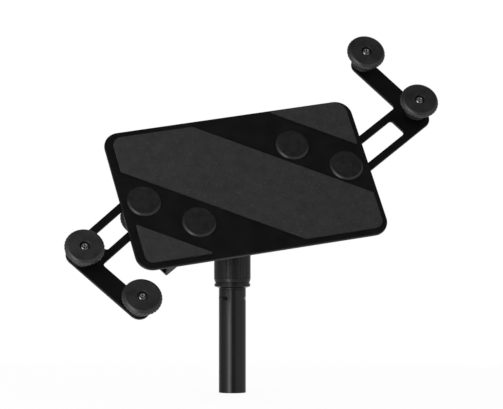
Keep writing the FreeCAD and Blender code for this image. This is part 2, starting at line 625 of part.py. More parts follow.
def arm(reach):
    """Flat steel arm: two legs, closed at the inner end, and a bar with both rollers at the outer end."""
    half_band = ARM_BAND / 2
    half_bar = ARM_BAR_WIDTH / 2
    slot_outer = reach - half_bar - ARM_SLOT_MARGIN
    slot_inner = slot_outer - SLOT_LENGTH
    inner_end = slot_inner - ARM_BRIDGE
    far_end = ROLLER_SPACING + half_bar
    arm_sheet = sheet([
        (inner_end, -half_band, ARM_END_RADIUS), (reach + half_bar, -half_band, ARM_JUNCTION_RADIUS),
        (reach + half_bar, far_end, half_bar), (reach - half_bar, far_end, half_bar),
        (reach - half_bar, half_band, ARM_INNER_RADIUS), (inner_end, half_band, ARM_END_RADIUS)],
        ARM_BACK, ARM_FRONT)
    half_slot = ARM_SLOT / 2
    slot = sheet([
        (slot_inner, -half_slot, ARM_INNER_RADIUS), (slot_outer, -half_slot, ARM_INNER_RADIUS),
        (slot_outer, half_slot, ARM_INNER_RADIUS), (slot_inner, half_slot, ARM_INNER_RADIUS)],
        ARM_BACK, ARM_FRONT)
    holes = [cylinder(SCREW_THREAD_DIAMETER / 2 + THREAD_GAP, ARM_BACK, ARM_FRONT, x=reach, y=y)
             for y in (0, ROLLER_SPACING)]
    return arm_sheet.cut([slot] + holes)


def roller_notches():
    """Cutters for the notches around a roller's rim."""
    place = ROLLER_RADIUS + ROLLER_NOTCH_RADIUS - ROLLER_NOTCH_DEPTH
    return turned_copies(cylinder(ROLLER_NOTCH_RADIUS, CAP_FOOT, ROLLER_HEIGHT, x=place), ROLLER_NOTCH_COUNT)


def roller_outline():
    """Outline of a roller's cap from its underside to its face."""
    return [
        (ROLLER_UNDERSIDE_RADIUS, CAP_FOOT), (ROLLER_RADIUS, RIM_FOOT), (ROLLER_RADIUS, RIM_TOP),
        (ROLLER_RADIUS - ROLLER_KNEE_INSET, ROLLER_HEIGHT - ROLLER_KNEE_DROP),
        (ROLLER_RADIUS - ROLLER_BEVEL, ROLLER_HEIGHT)]


def hub_outline(foot):
    """Outline of a hub with its raised rings, from its foot up to the cap."""
    rise = (CAP_FOOT - foot) / HUB_RING_COUNT
    inner = HUB_RADIUS - HUB_RING_GROOVE_DEPTH
    outline = [(HUB_RADIUS, foot)]
    for index in range(1, HUB_RING_COUNT):
        middle = foot + index * rise
        low = middle - HUB_RING_GROOVE_WIDTH / 2
        high = middle + HUB_RING_GROOVE_WIDTH / 2
        outline += [(HUB_RADIUS, low), (inner, low), (inner, high), (HUB_RADIUS, high)]
    return outline + [(HUB_RADIUS, CAP_FOOT)]


def roller_cap():
    """Cap of a roller, from its own foot on the arm at height 0."""
    hole = BUSH_RADIUS + RUNNING_GAP
    cap = turned(roller_outline() + [
        (SCREW_RECESS_RADIUS, ROLLER_HEIGHT), (SCREW_RECESS_RADIUS, SCREW_SEAT - SLIDING_GAP),
        (hole, SCREW_SEAT - SLIDING_GAP), (hole, CAP_FOOT)])
    return cap.cut(roller_notches())


def roller_hub():
    hole = BUSH_RADIUS + RUNNING_GAP
    foot = HUB_LIFT + SLIDING_GAP
    return turned(hub_outline(foot) + [(hole, CAP_FOOT), (hole, foot)])


def roller_screw():
    radius = SCREW_THREAD_DIAMETER / 2
    top = SCREW_SEAT + SCREW_HEAD_HEIGHT
    tail = -ARM_SHEET - ROLLER_NUT_HEIGHT - SCREW_TAIL
    screw = turned([
        (0, tail), (radius, tail), (radius, SCREW_SEAT), (SCREW_HEAD_RADIUS, SCREW_SEAT),
        (SCREW_HEAD_RADIUS, top - SCREW_CROWN), (SCREW_HEAD_RADIUS - SCREW_CROWN, top), (0, top)])
    socket = hexagon(SCREW_SOCKET_WIDTH, top - SCREW_SOCKET_DEPTH, top)
    return screw.cut(socket)


def roller_hardware():
    """Spacer, bush, screw and nut of one roller, from the arm's front face at height 0."""
    radius = SCREW_THREAD_DIAMETER / 2
    nut = hexagon(ROLLER_NUT_WIDTH, -ARM_SHEET - ROLLER_NUT_HEIGHT, -ARM_SHEET)
    return {
        "roller_spacers": ring(radius, ROLLER_SPACER_RADIUS, 0, HUB_LIFT),
        "roller_bushes": ring(radius, BUSH_RADIUS, HUB_LIFT, SCREW_SEAT),
        "roller_screws": roller_screw(),
        "roller_nuts": nut.cut(cylinder(radius, -ARM_SHEET - ROLLER_NUT_HEIGHT, -ARM_SHEET)),
    }


def clamp_knob():
    """Knob from the rollers' mould, closed at its face, with a bore for its threaded insert."""
    insert_radius = CLAMP_THREAD_DIAMETER / 2 + INSERT_WALL
    body = turned(hub_outline(0) + roller_outline() + [
        (0, ROLLER_HEIGHT), (0, KNOB_BORE_DEPTH), (CLAMP_HOLE_RADIUS, KNOB_BORE_DEPTH),
        (CLAMP_HOLE_RADIUS, INSERT_LENGTH), (insert_radius, INSERT_LENGTH), (insert_radius, 0)])
    return body.cut(roller_notches())


def clamp_insert():
    radius = CLAMP_THREAD_DIAMETER / 2
    return ring(radius + THREAD_GAP, radius + INSERT_WALL, 0, INSERT_LENGTH)


def sideways(start):
    """Lays a piece drawn along Z across the tilt frame, from X = start."""
    return FreeCAD.Placement(FreeCAD.Vector(start, 0, 0), FreeCAD.Rotation(Y_AXIS, Z_AXIS, X_AXIS, "ZXY"))


def save(node, pieces, frame=FreeCAD.Placement()):
    """Writes one named piece, or a group of like pieces, where its frame stands at rest."""
    pieces = pieces if isinstance(pieces, list) else [pieces]
    solids = [placed(solid, frame) for piece in pieces for solid in piece.Solids]
    shape = solids[0] if len(solids) == 1 else Part.makeCompound(solids)
    shape.exportStep("parts/" + node + ".step")


def save_stand():
    save("stand_tube", stand_tube())
    save("clutch_base", clutch_base())
    save("clutch_collet", clutch_collet())
    save("clutch_nut", clutch_nut())
    save("inner_tube", inner_tube())
    save("threaded_stud", threaded_stud())
    save("lock_ring", lock_ring())
    save("head_socket", head_socket())


def save_tilt():
    knob_start = CHEEK_OUTER + WASHER_THICKNESS + SLIDING_GAP
    save("tilt_knuckle", tilt_knuckle(), TILT_FRAME)
    save("tilt_bolt", tilt_bolt(), TILT_FRAME)
    save("tilt_washers", tilt_washers(), TILT_FRAME)
    save("tilt_knob", clamp_knob(), TILT_FRAME.multiply(sideways(knob_start)))
    save("tilt_knob_insert", clamp_insert(), TILT_FRAME.multiply(sideways(knob_start)))


def save_plate():
    save("back_plate", back_plate(), PLATE_FRAME)
    for node, pad in zip(("foam_strip", "foam_corner_lower", "foam_corner_upper"), foam_pads()):
        save(node, pad, PLATE_FRAME)
    save("spine_channel", spine_channel(), DIAGONAL_FRAME)
    for node, pieces in spine_fasteners().items():
        save(node, pieces, DIAGONAL_FRAME)
    for node, piece in swivel_fasteners().items():
        save(node, piece, PLATE_FRAME)


def save_clamp(side):
    frame = clamp_frame(side)
    backward = FreeCAD.Rotation(X_AXIS, 180)
    behind = frame.multiply(FreeCAD.Placement(FreeCAD.Vector(0, 0, KNOB_FOOT), backward))
    neck = -CLAMP_PLATE_BACK
    save("clamp_bolt_" + side, cap_bolt(KNOB_FOOT - KNOB_BORE_DEPTH + BORE_END_GAP, neck), frame)
    save("clamp_plate_" + side, clamp_plate(), frame)
    save("clamp_knob_" + side, clamp_knob(), behind)
    save("clamp_insert_" + side, clamp_insert(), behind)


def save_arm(side, reach):
    frame = arm_frame(side)
    save("arm_" + side, arm(reach), frame)
    places = {"_side": at(reach, 0, ARM_FRONT), "_end": at(reach, ROLLER_SPACING, ARM_FRONT)}
    for name, piece in roller_hardware().items():
        save(name + "_" + side, [placed(piece, place) for place in places.values()], frame)
    for end, place in places.items():
        save("roller_cap_" + side + end, roller_cap(), frame.multiply(place))
        save("roller_hub_" + side + end, roller_hub(), frame.multiply(place))


def main():
    os.makedirs("parts", exist_ok=True)
    save_stand()
    save_tilt()
    save_plate()
    for side, reach in (("left", ARM_REACH_LEFT), ("right", ARM_REACH_RIGHT)):
        save_clamp(side)
        save_arm(side, reach)


main()
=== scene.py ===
from math import acos, atan2, cos, pi, radians, sin, tan, tau
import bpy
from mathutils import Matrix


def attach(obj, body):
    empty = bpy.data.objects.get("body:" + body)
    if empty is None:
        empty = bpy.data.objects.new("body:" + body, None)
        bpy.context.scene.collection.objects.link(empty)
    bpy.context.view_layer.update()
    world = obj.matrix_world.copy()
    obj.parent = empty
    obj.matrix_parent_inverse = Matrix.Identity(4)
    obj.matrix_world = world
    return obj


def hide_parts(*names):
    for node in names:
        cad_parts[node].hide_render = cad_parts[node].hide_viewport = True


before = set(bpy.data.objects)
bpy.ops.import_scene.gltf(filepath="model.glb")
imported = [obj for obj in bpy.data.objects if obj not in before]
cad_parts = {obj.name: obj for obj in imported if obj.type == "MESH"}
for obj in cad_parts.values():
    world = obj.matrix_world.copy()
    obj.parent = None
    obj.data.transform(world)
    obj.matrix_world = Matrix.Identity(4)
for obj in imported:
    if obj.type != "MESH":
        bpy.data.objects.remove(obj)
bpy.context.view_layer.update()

from types import SimpleNamespace

import bmesh
import bpy
from mathutils import Matrix, Vector, noise
from mathutils.geometry import delaunay_2d_cdt, tessellate_polygon

bl_info = {
    "name": "Microphone stand tablet holder",
    "version": (1, 0, 0),
    "blender": (4, 5, 0),
    "location": "3D View > Sidebar > Tablet holder",
    "description": "Tablet plate with sliding arms and rollers on a microphone stand's upright",
    "category": "Add Mesh",
}

MM = 0.001

# Sizes that several pieces need, in millimetres, and angles at rest, in degrees
PIVOT = (0, -21, 154.3)
PLATE_FROM_PIVOT = 50
TILT_AT_REST, SWIVEL_AT_REST = 30.7, 9.7
PLATE_WIDTH, PLATE_HEIGHT, PLATE_CORNER = 220, 134, 14
CLAMP_ALONG, CLAMP_ACROSS = 78.2, -44.6
SPINE_BOLT_ALONG = 57.6
# An arm lies a little turned and shifted in the play of its slot.
ARM_SAG = {"left": 2.1, "right": -1.3}
ARM_PLAY = {"left": 1.25, "right": -0.8}
REACH = {"left": 77.1, "right": 86.6}
ROLLER_SPACING = 64.1
# Radii of an M6 bolt and its hole, the width of a square neck's hole, a washer's thickness
M6, M6_HOLE, SQUARE_HOLE, WASHER = 3, 3.06, 6.12, 1.2
# Depths from the plate's front face, which faces +Z in its own frame
PLATE_BACK = -2.5
SPINE_BACK = -16.7
FLANGE_FRONT = -17.8
ARM_FRONT = -2.6
CLAMP_KEY_FRONT, CLAMP_PLATE_FRONT, CLAMP_PLATE_BACK = -2.9, -4.7, -7.7
KNOB_FOOT = -7.8
# Heights of a roller over its arm, or of a knob over its foot
CAP_FOOT, RIM_TOP = 17.6, 24
ROLLER_BORE = 3.36
# Heights of the upright
TUBE_TOP, CRIMP_FOOT, CRIMP_TOP = 89, 79.2, 83.0
NUT_FOOT, GROOVE_FOOT, GROOVE_TOP, NUT_TOP = 95.4, 98.4, 119.7, 121
INNER_TUBE_TOP, STUD_TOP = 125, 147
# The camera's turn about the upright, in degrees
CAMERA_TURN = -10.8


def at(x=0.0, y=0.0, z=0.0):
    """Shift by millimetres."""
    return Matrix.Translation((x * MM, y * MM, z * MM))


def turn(degrees, axis="Z"):
    """Turn by degrees about an axis."""
    return Matrix.Rotation(radians(degrees), 4, axis)


# Frames of the holder at rest. The tilt frame starts at the tilt pivot, the plate frame at the
# middle of the plate's front face, a clamp frame at an arm's bolt.
TILT = at(*PIVOT) @ turn(90 - TILT_AT_REST, "X")
PLATE = TILT @ at(z=PLATE_FROM_PIVOT) @ turn(SWIVEL_AT_REST)
DIAGONAL = PLATE @ Matrix.Rotation(atan2(PLATE_HEIGHT, PLATE_WIDTH), 4, "Z")
SIDEWAYS = Matrix(((0, 0, 1, 0), (1, 0, 0, 0), (0, 1, 0, 0), (0, 0, 0, 1)))
CLAMP = {
    side: DIAGONAL @ turn(half_turn) @ at(CLAMP_ALONG, CLAMP_ACROSS)
    for side, half_turn in (("left", 180), ("right", 0))}
ARM = {side: CLAMP[side] @ turn(ARM_SAG[side]) @ at(y=ARM_PLAY[side]) for side in CLAMP}


def linear(code):
    """Linear colour from an sRGB hex code."""
    channels = [int(code[k:k + 2], 16) / 255 for k in (1, 3, 5)]
    return [c / 12.92 if c <= 0.04045 else ((c + 0.055) / 1.055) ** 2.4 for c in channels] + [1.0]


def length(name, description, default):
    """Property for a size in metres."""
    return bpy.props.FloatProperty(
        name=name, description=description, default=default, min=0.0, unit="LENGTH", precision=5)


def count(name, description, default):
    """Property for a number of like features."""
    return bpy.props.IntProperty(name=name, description=description, default=default, min=3, max=120)


def in_mm(group):
    """The group's sizes with their lengths in millimetres."""
    sizes = {name: getattr(group, name) for name in HolderSizes.__annotations__}
    return SimpleNamespace(**{
        name: size if isinstance(size, int) else size / MM for name, size in sizes.items()})


def tint(name, description, code):
    """Property for a colour."""
    return bpy.props.FloatVectorProperty(
        name=name, description=description, default=linear(code), size=4, subtype="COLOR", min=0.0, max=1.0)


class HolderSizes(bpy.types.PropertyGroup):
    """Sizes of what shows on the holder's pieces"""
    tube_radius: length("Tube radius", "Outer radius of the upright tube", 0.0117)
    crimp_depth: length("Crimp depth", "How far each crimp under the tube's top is pressed in", 0.0013)
    nut_grooves: count("Nut grooves", "Grooves around the clutch nut", 30)
    nut_groove_depth: length("Nut groove depth", "Depth of a groove of the clutch nut", 0.0005)
    plate_edge: length("Plate edge", "Rounding of the plate's sheared edge under its paint", 0.0009)
    cap_radius: length("Cap radius", "Radius of the four low caps on the plate", 0.0145)
    foam_edge: length("Foam edge", "Rounding of the foam pads' cut edge", 0.0005)
    foam_crown: length("Foam crown", "How much the foam swells away from its cut edges", 0.00016)
    arm_edge: length("Arm edge", "Rounding of an arm's sheared edge", 0.0008)
    roller_radius: length("Roller radius", "Outer radius of a roller's or a knob's rim", 0.0166)
    roller_notches: count("Rim notches", "Notches around a roller's or a knob's rim", 32)
    roller_notch: length("Notch radius", "Radius of a notch in the rim", 0.0009)


class HolderColours(bpy.types.PropertyGroup):
    """Colours of the holder's finishes"""
    tube: tint("Tube enamel", "Gloss enamel of the upright tube", "#080808")
    plate: tint("Plate powder coat", "Satin powder coat of the plate and its channel", "#0a0a0a")
    # The arms' colour is the plate's powder coat made darker: painted shade.
    arm: tint("Arm powder coat", "Satin powder coat of the arms", "#060606")
    cap: tint("Cap paint", "Paint of the low caps on the plate", "#1c1c1c")
    moulding: tint("Moulded ABS", "Moulded rollers and knobs", "#242424")
    clutch: tint("Clutch moulding", "Moulded clutch", "#121212")
    rubber: tint("Hub rubber", "Rubber of the rollers' hubs", "#181818")
    foam: tint("Foam", "Closed-cell foam of the tablet pads", "#2a2a2a")
    casting: tint("Casting paint", "Paint of the cast head", "#141414")
    zinc: tint("Zinc plating", "Plating of the fastenings", "#b4b6b5")


def add(tree, kind, inputs=(), **settings):
    """Adds a node with its settings, its input values and its links, listed or by name."""
    node = tree.nodes.new(kind)
    for name, value in settings.items():
        setattr(node, name, value)
    for key, value in (inputs.items() if isinstance(inputs, dict) else enumerate(inputs)):
        if isinstance(value, bpy.types.Node):
            value = value.outputs[0]
        if isinstance(value, bpy.types.NodeSocket):
            tree.links.new(value, node.inputs[key])
        else:
            node.inputs[key].default_value = value
    return node


# Materials


def cleared(block):
    """Empty node tree of a material or a world."""
    block.use_nodes = True
    block.node_tree.nodes.clear()
    return block.node_tree


def finish_of(name, colour, **sockets):
    """Material with one Principled shader, and the Object coordinates that its patterns read."""
    material = bpy.data.materials.new(name)
    tree = cleared(material)
    settings = {key.replace("_", " "): value for key, value in sockets.items()}
    shader = add(tree, "ShaderNodeBsdfPrincipled", {"Base Color": list(colour), **settings})
    add(tree, "ShaderNodeOutputMaterial", {"Surface": shader})
    material.diffuse_color = list(colour)
    return material, tree, shader, add(tree, "ShaderNodeTexCoord").outputs["Object"]


def shades(tree, shader, low, high, pattern):
    """Base colour that wanders between two shades of it by a pattern."""
    colour = list(shader.inputs["Base Color"].default_value)
    share = add(tree, "ShaderNodeMapRange", {"Value": pattern, "From Min": 0.3, "From Max": 0.7})
    dark, light = ([c * part for c in colour[:3]] + [1] for part in (low, high))
    mixed = add(tree, "ShaderNodeMix", {0: share, 6: dark, 7: light}, data_type="RGBA")
    tree.links.new(mixed.outputs[2], shader.inputs["Base Color"])


def coated(name, colour, patterns, tone=None, rough=None, relief=None, **sockets):
    """Material whose shade, roughness and relief follow patterns of noise.

    A pattern has its size in mm, its detail and, where it is drawn out, its scale along Z.
    tone is a pattern and two shares of the colour. rough is a pattern, two roughnesses and the
    range of the pattern that they span. relief is a pattern, its strength and its depth in mm."""
    if name in bpy.data.materials:
        return bpy.data.materials[name]
    material, tree, shader, place = finish_of(name, colour, **sockets)
    drawn = {}
    for pattern, inputs in patterns.items():
        inputs = {"Vector": place, **inputs, "Scale": 1 / (inputs["mm"] * MM)}
        del inputs["mm"]
        if "along" in inputs:
            stretch = (1, 1, inputs.pop("along"))
            inputs["Vector"] = add(tree, "ShaderNodeMapping", {"Vector": place, "Scale": stretch})
        drawn[pattern] = add(tree, "ShaderNodeTexNoise", inputs)
    if tone:
        pattern, low, high = tone
        shades(tree, shader, low, high, drawn[pattern])
    if rough:
        pattern, low, high, start, end = rough if len(rough) == 5 else (*rough, 0.3, 0.7)
        uneven = add(tree, "ShaderNodeMapRange", {
            "Value": drawn[pattern], "From Min": start, "From Max": end, "To Min": low, "To Max": high})
        tree.links.new(uneven.outputs[0], shader.inputs["Roughness"])
    if relief:
        pattern, strength, depth = relief
        bump = add(tree, "ShaderNodeBump", {
            "Height": drawn[pattern], "Strength": strength, "Distance": depth * MM})
        tree.links.new(bump.outputs[0], shader.inputs["Normal"])
    return material


def gloss_enamel(colours):
    """Stove enamel sprayed on drawn steel tube: a wet gloss, its orange peel bends reflections."""
    return coated(
        "stove_enamel_gloss", colours.tube, {
            "peel": {"mm": 2.2, "Detail": 1.0}, "rub": {"mm": 0.8, "Detail": 3.0, "along": 0.06},
            "patches": {"mm": 9, "Detail": 3.0}},
        ("patches", 0.8, 1.25), ("rub", 0.15, 0.24, 0.3, 0.75), ("peel", 0.3, 0.02), Roughness=0.18)


def powder_coat(colours, name="satin_powder_coat", colour=None):
    """Polyester powder coat on steel sheet, baked: satin, its fine pebble spreads the light."""
    # The pebble of such a coat is about 0.3 mm across and is drawn at 0.7 mm so that it shows.
    return coated(
        name, colour or colours.plate, {
            "pebble": {"mm": 0.7, "Detail": 2.0}, "patches": {"mm": 14, "Detail": 4.0}},
        ("patches", 0.75, 1.3), ("patches", 0.36, 0.44), ("pebble", 0.35, 0.03),
        Roughness=0.4, Specular_IOR_Level=0.4)


def shaded_arm_coat(colours):
    """The plate's powder coat on the arms in a darker colour: painted shade, not a different layer of paint.
    """
    return powder_coat(colours, "shaded_powder_coat", colours.arm)


def cap_paint(colours):
    """Epoxy paint on turned steel caps: satin over faint turning marks."""
    return coated(
        "satin_cap_paint", colours.cap, {
            "pebble": {"mm": 0.5, "Detail": 2.0}, "patches": {"mm": 5, "Detail": 4.0}},
        ("patches", 0.75, 1.3), ("patches", 0.26, 0.36), ("pebble", 0.3, 0.025), Roughness=0.3)


def moulded_abs(colours):
    """ABS, injection moulded in a lightly grained mould: satin, with slight colour flow."""
    # Spark erosion leaves a grain of about 0.15 mm, drawn at 0.45 mm so that it shows.
    return coated(
        "moulded_abs_satin", colours.moulding, {
            "grain": {"mm": 0.45, "Detail": 3.0}, "flow": {"mm": 11, "Detail": 3.0}},
        ("flow", 0.76, 1.3), ("flow", 0.24, 0.34), ("grain", 0.12, 0.03), Roughness=0.28)


def clutch_moulding(colours):
    """Glass-filled nylon from a polished mould: a low gloss with faint drag marks along it."""
    return coated(
        "polished_nylon", colours.clutch, {"drag": {"mm": 1.1, "Detail": 3.0, "along": 0.08}},
        ("drag", 0.7, 1.35), ("drag", 0.19, 0.32), ("drag", 0.15, 0.03),
        Roughness=0.24, Specular_IOR_Level=0.4)


def hub_rubber(colours):
    """Moulded nitrile rubber: near matt, with a soft bloom where it has been handled."""
    return coated(
        "nitrile_rubber", colours.rubber, {
            "skin": {"mm": 0.6, "Detail": 3.0}, "bloom": {"mm": 4, "Detail": 4.0}},
        ("bloom", 0.75, 1.35), None, ("skin", 0.2, 0.04), Roughness=0.6, Specular_IOR_Level=0.3)


def pad_foam(colours):
    """EVA foam skived from a block: open cut cells make it matt and mottled, dust settles in them."""
    if "closed_cell_foam" in bpy.data.materials:
        return bpy.data.materials["closed_cell_foam"]
    material, tree, shader, place = finish_of(
        "closed_cell_foam", colours.foam, Roughness=0.92, Specular_IOR_Level=0.3)
    cells = add(tree, "ShaderNodeTexVoronoi", {
        "Vector": place, "Scale": 1 / (0.9 * MM), "Randomness": 1.0}, feature="SMOOTH_F1")
    cloud = add(tree, "ShaderNodeTexNoise", {
        "Vector": place, "Scale": 1 / (9 * MM), "Detail": 7.0, "Roughness": 0.66})
    shades(tree, shader, 0.82, 1.22, cloud)
    mottled = shader.inputs["Base Color"].links[0].from_socket
    specks = add(tree, "ShaderNodeTexNoise", {"Vector": place, "Scale": 1 / (1.3 * MM), "Detail": 1.0})
    spots = add(tree, "ShaderNodeMapRange", {
        "Value": specks, "From Min": 0.66, "From Max": 0.74, "To Min": 0.0, "To Max": 0.75})
    pale = [c * 2.4 for c in list(colours.foam)[:3]] + [1]
    dusted = add(tree, "ShaderNodeMix", {0: spots, 6: mottled, 7: pale}, data_type="RGBA")
    tree.links.new(dusted.outputs[2], shader.inputs["Base Color"])
    height = add(tree, "ShaderNodeMath", [cells, cloud], operation="ADD")
    bump = add(tree, "ShaderNodeBump", {"Height": height, "Strength": 0.6, "Distance": 0.12 * MM})
    tree.links.new(bump.outputs[0], shader.inputs["Normal"])
    return material


def zinc_plate(colours):
    """Clear-passivated zinc on pressed steel: a soft grey shine with slightly cloudy patches."""
    return coated(
        "clear_zinc_plating", colours.zinc, {
            "cloud": {"mm": 3.5, "Detail": 5.0}, "grain": {"mm": 0.4, "Detail": 2.0}},
        ("cloud", 0.82, 1.08), ("cloud", 0.27, 0.42), ("grain", 0.2, 0.015),
        Metallic=1.0, Roughness=0.34)


def bright_nickel(colours):
    """Nickel plate on cold-headed screws: a bright shine with fine die marks."""
    return coated(
        "nickel_plating", linear("#9e9c98"), {"marks": {"mm": 0.6, "Detail": 2.0}},
        None, ("marks", 0.1, 0.22), ("marks", 0.12, 0.02), Metallic=1.0, Roughness=0.14)


def bright_chrome(colours):
    """Chromium plate on polished tube: a mirror, with hairlines along it from sliding."""
    return coated(
        "bright_chrome", linear("#d6d8d9"), {"lines": {"mm": 0.35, "Detail": 2.0, "along": 0.03}},
        rough=("lines", 0.05, 0.16, 0.45, 0.8), Metallic=1.0, Roughness=0.06)


def painted_casting(colours):
    """Zinc alloy die casting under black paint: soft edges and a slightly lumpy skin."""
    return coated(
        "painted_die_casting", colours.casting, {
            "skin": {"mm": 1.4, "Detail": 4.0, "Roughness": 0.6}, "patches": {"mm": 8, "Detail": 3.0}},
        ("patches", 0.75, 1.3), ("skin", 0.4, 0.54), ("skin", 0.4, 0.08), Roughness=0.46)


def turned_brass(colours):
    """Free-cutting brass, turned: warm metal with faint tool marks."""
    return coated(
        "turned_brass", linear("#b8964e"), {"marks": {"mm": 0.5, "Detail": 2.0}},
        ("marks", 0.85, 1.08), Metallic=1.0, Roughness=0.28)


# The split collet and the swivel washer keep the frame's own grey nylon, which suits them.
FINISHES = {
    "black_gloss_tube": gloss_enamel,
    "black_satin_plastic": moulded_abs,
    "chrome_tube": bright_chrome,
    "zinc_steel": zinc_plate,
    "black_cast_metal": painted_casting,
    "brass_insert": turned_brass,
    "black_plate_paint": powder_coat,
    "black_arm_paint": shaded_arm_coat,
    "black_cap_paint": cap_paint,
    "foam_rubber": pad_foam,
    "black_rubber": hub_rubber,
}


# Geometry node trees. Each works on a piece that stands on its own Z axis.


def rule_tree(name, sockets):
    """Empty geometry tree with named inputs."""
    tree = bpy.data.node_groups.new(name, "GeometryNodeTree")
    tree.interface.new_socket("Geometry", in_out="INPUT", socket_type="NodeSocketGeometry")
    for label, (kind, default) in sockets.items():
        socket = tree.interface.new_socket(label, in_out="INPUT", socket_type="NodeSocket" + kind)
        if default is not None:
            socket.default_value = default
    tree.interface.new_socket("Material", in_out="INPUT", socket_type="NodeSocketMaterial")
    tree.interface.new_socket("Geometry", in_out="OUTPUT", socket_type="NodeSocketGeometry")
    return tree, add(tree, "NodeGroupInput").outputs


def closed_tree(tree, given, geometry):
    """Ends a tree in real geometry with its material."""
    real = add(tree, "GeometryNodeRealizeInstances", {"Geometry": geometry})
    dressed = add(tree, "GeometryNodeSetMaterial", {"Geometry": real, "Material": given["Material"]})
    add(tree, "NodeGroupOutput", {"Geometry": dressed})
    return tree


def radial_tree(name, sockets, limit):
    """Tree that draws a piece's points in to a limit radius, between two heights and two radii."""
    tree, given = rule_tree(name, {
        **sockets, "Foot": ("Float", -1.0), "Top": ("Float", 1.0), "Run-out": ("Float", 1e-6),
        "From radius": ("Float", 0.0), "To radius": ("Float", 1.0)})
    x, y, height = add(tree, "ShaderNodeSeparateXYZ", [add(tree, "GeometryNodeInputPosition")]).outputs
    flat = add(tree, "ShaderNodeCombineXYZ", [x, y])
    radius = add(tree, "ShaderNodeVectorMath", [flat], operation="LENGTH").outputs["Value"]
    angle = add(tree, "ShaderNodeMath", [y, x], operation="ARCTAN2")
    bound = limit(tree, given, radius, angle, height)
    full, ending = (
        add(tree, "ShaderNodeMath", [given[end], given["Run-out"]], operation=way)
        for end, way in (("Foot", "ADD"), ("Top", "SUBTRACT")))
    share = add(tree, "ShaderNodeMapRange", {
        "Value": height, "From Min": given["Foot"], "From Max": full}, interpolation_type="SMOOTHSTEP")
    stop = add(tree, "ShaderNodeMapRange", {
        "Value": height, "From Max": given["Top"], "From Min": ending, "To Min": 1.0, "To Max": 0.0},
        interpolation_type="SMOOTHSTEP")
    outside, inside = (
        add(tree, "ShaderNodeMath", [radius, given[end]], operation=test)
        for end, test in (("From radius", "GREATER_THAN"), ("To radius", "LESS_THAN")))
    for condition in (stop, outside, inside):
        share = add(tree, "ShaderNodeMath", [share, condition], operation="MULTIPLY")
    part, whole = radius, add(tree, "ShaderNodeMath", [radius, 1e-6], operation="MAXIMUM")
    for operation, operand in (
            ("MINIMUM", bound), ("SUBTRACT", radius), ("DIVIDE", whole), ("MULTIPLY", share)):
        part = add(tree, "ShaderNodeMath", [part, operand], operation=operation)
    offset = add(tree, "ShaderNodeVectorMath", {0: flat, "Scale": part}, operation="SCALE")
    moved = add(tree, "GeometryNodeSetPosition", {"Geometry": given["Geometry"], "Offset": offset})
    return closed_tree(tree, given, moved)


def away_from_middle(tree, given, angle):
    """Angle from the middle of the nearest of a number of places that start at an angle."""
    for operation, *operands in (
            ("SUBTRACT", given["First angle"]), ("MULTIPLY", given["Count"]),
            ("MULTIPLY_ADD", 1 / tau, 0.5), ("FRACT",), ("SUBTRACT", 0.5), ("MULTIPLY", tau),
            ("DIVIDE", given["Count"])):
        angle = add(tree, "ShaderNodeMath", [angle, *operands], operation=operation)
    return angle


def notch_limit(tree, given, radius, angle, height):
    """Round notches cut along Z, as by a mill of the notch's radius."""
    away = away_from_middle(tree, given, angle)
    waves = [add(tree, "ShaderNodeMath", [away], operation=wave) for wave in ("SINE", "COSINE")]
    side, along = (
        add(tree, "ShaderNodeMath", [wave, given["Centre distance"]], operation="MULTIPLY")
        for wave in waves)
    square, whole = (
        add(tree, "ShaderNodeMath", [value, 2.0], operation="POWER")
        for value in (side, given["Notch radius"]))
    under = add(tree, "ShaderNodeMath", [whole, square], operation="SUBTRACT")
    hit = add(tree, "ShaderNodeMath", [under, 0.0], operation="GREATER_THAN")
    clear = add(tree, "ShaderNodeMath", [1.0, hit], operation="SUBTRACT")
    root = add(tree, "ShaderNodeMath", [under, 0.0], operation="MAXIMUM")
    root = add(tree, "ShaderNodeMath", [root], operation="SQRT")
    edge = add(tree, "ShaderNodeMath", [along, root], operation="SUBTRACT")
    return add(tree, "ShaderNodeMath", [edge, clear], operation="ADD")


def flat_limit(tree, given, radius, angle, height):
    """Flats milled around a blank, such as a nut's, or broached into a hole."""
    along = add(tree, "ShaderNodeMath", [away_from_middle(tree, given, angle)], operation="COSINE")
    return add(tree, "ShaderNodeMath", [given["Flat distance"], along], operation="DIVIDE")


def thread_limit(tree, given, radius, angle, height):
    """Right-handed thread, deepest in the middle of each turn's groove."""
    part = add(tree, "ShaderNodeMath", [angle, tau], operation="DIVIDE")
    depth = height
    for operation, *operands in (
            ("DIVIDE", given["Pitch"]), ("SUBTRACT", part), ("FRACT",), ("MULTIPLY_ADD", 2.0, -1.0),
            ("ABSOLUTE",), ("MULTIPLY", given["Depth"])):
        depth = add(tree, "ShaderNodeMath", [depth, *operands], operation=operation)
    return add(tree, "ShaderNodeMath", [radius, depth], operation="SUBTRACT")


def crimp_limit(tree, given, radius, angle, height):
    """Short dents pressed into a tube around it, each deepest under its upper edge."""
    past = away_from_middle(tree, given, angle)
    for operation, *operands in (
            ("ABSOLUTE",), ("SUBTRACT", given["Half span"]), ("MULTIPLY", radius)):
        past = add(tree, "ShaderNodeMath", [past, *operands], operation=operation)
    width = given["Half width"]
    ends = add(tree, "ShaderNodeMapRange", {
        "Value": past, "From Min": 0.0, "From Max": width, "To Min": given["Depth"], "To Max": 0.0},
        interpolation_type="SMOOTHSTEP")
    rise = add(tree, "ShaderNodeMath", [height, given["Crimp height"]], operation="SUBTRACT")
    fall = add(tree, "ShaderNodeMath", [width, -1.0], operation="MULTIPLY")
    press = add(tree, "ShaderNodeMapRange", {"Value": rise, "From Min": fall, "From Max": width})
    under = add(tree, "ShaderNodeMath", [rise, width], operation="LESS_THAN")
    for factor in (under, ends):
        press = add(tree, "ShaderNodeMath", [press, factor], operation="MULTIPLY")
    return add(tree, "ShaderNodeMath", [radius, press], operation="SUBTRACT")


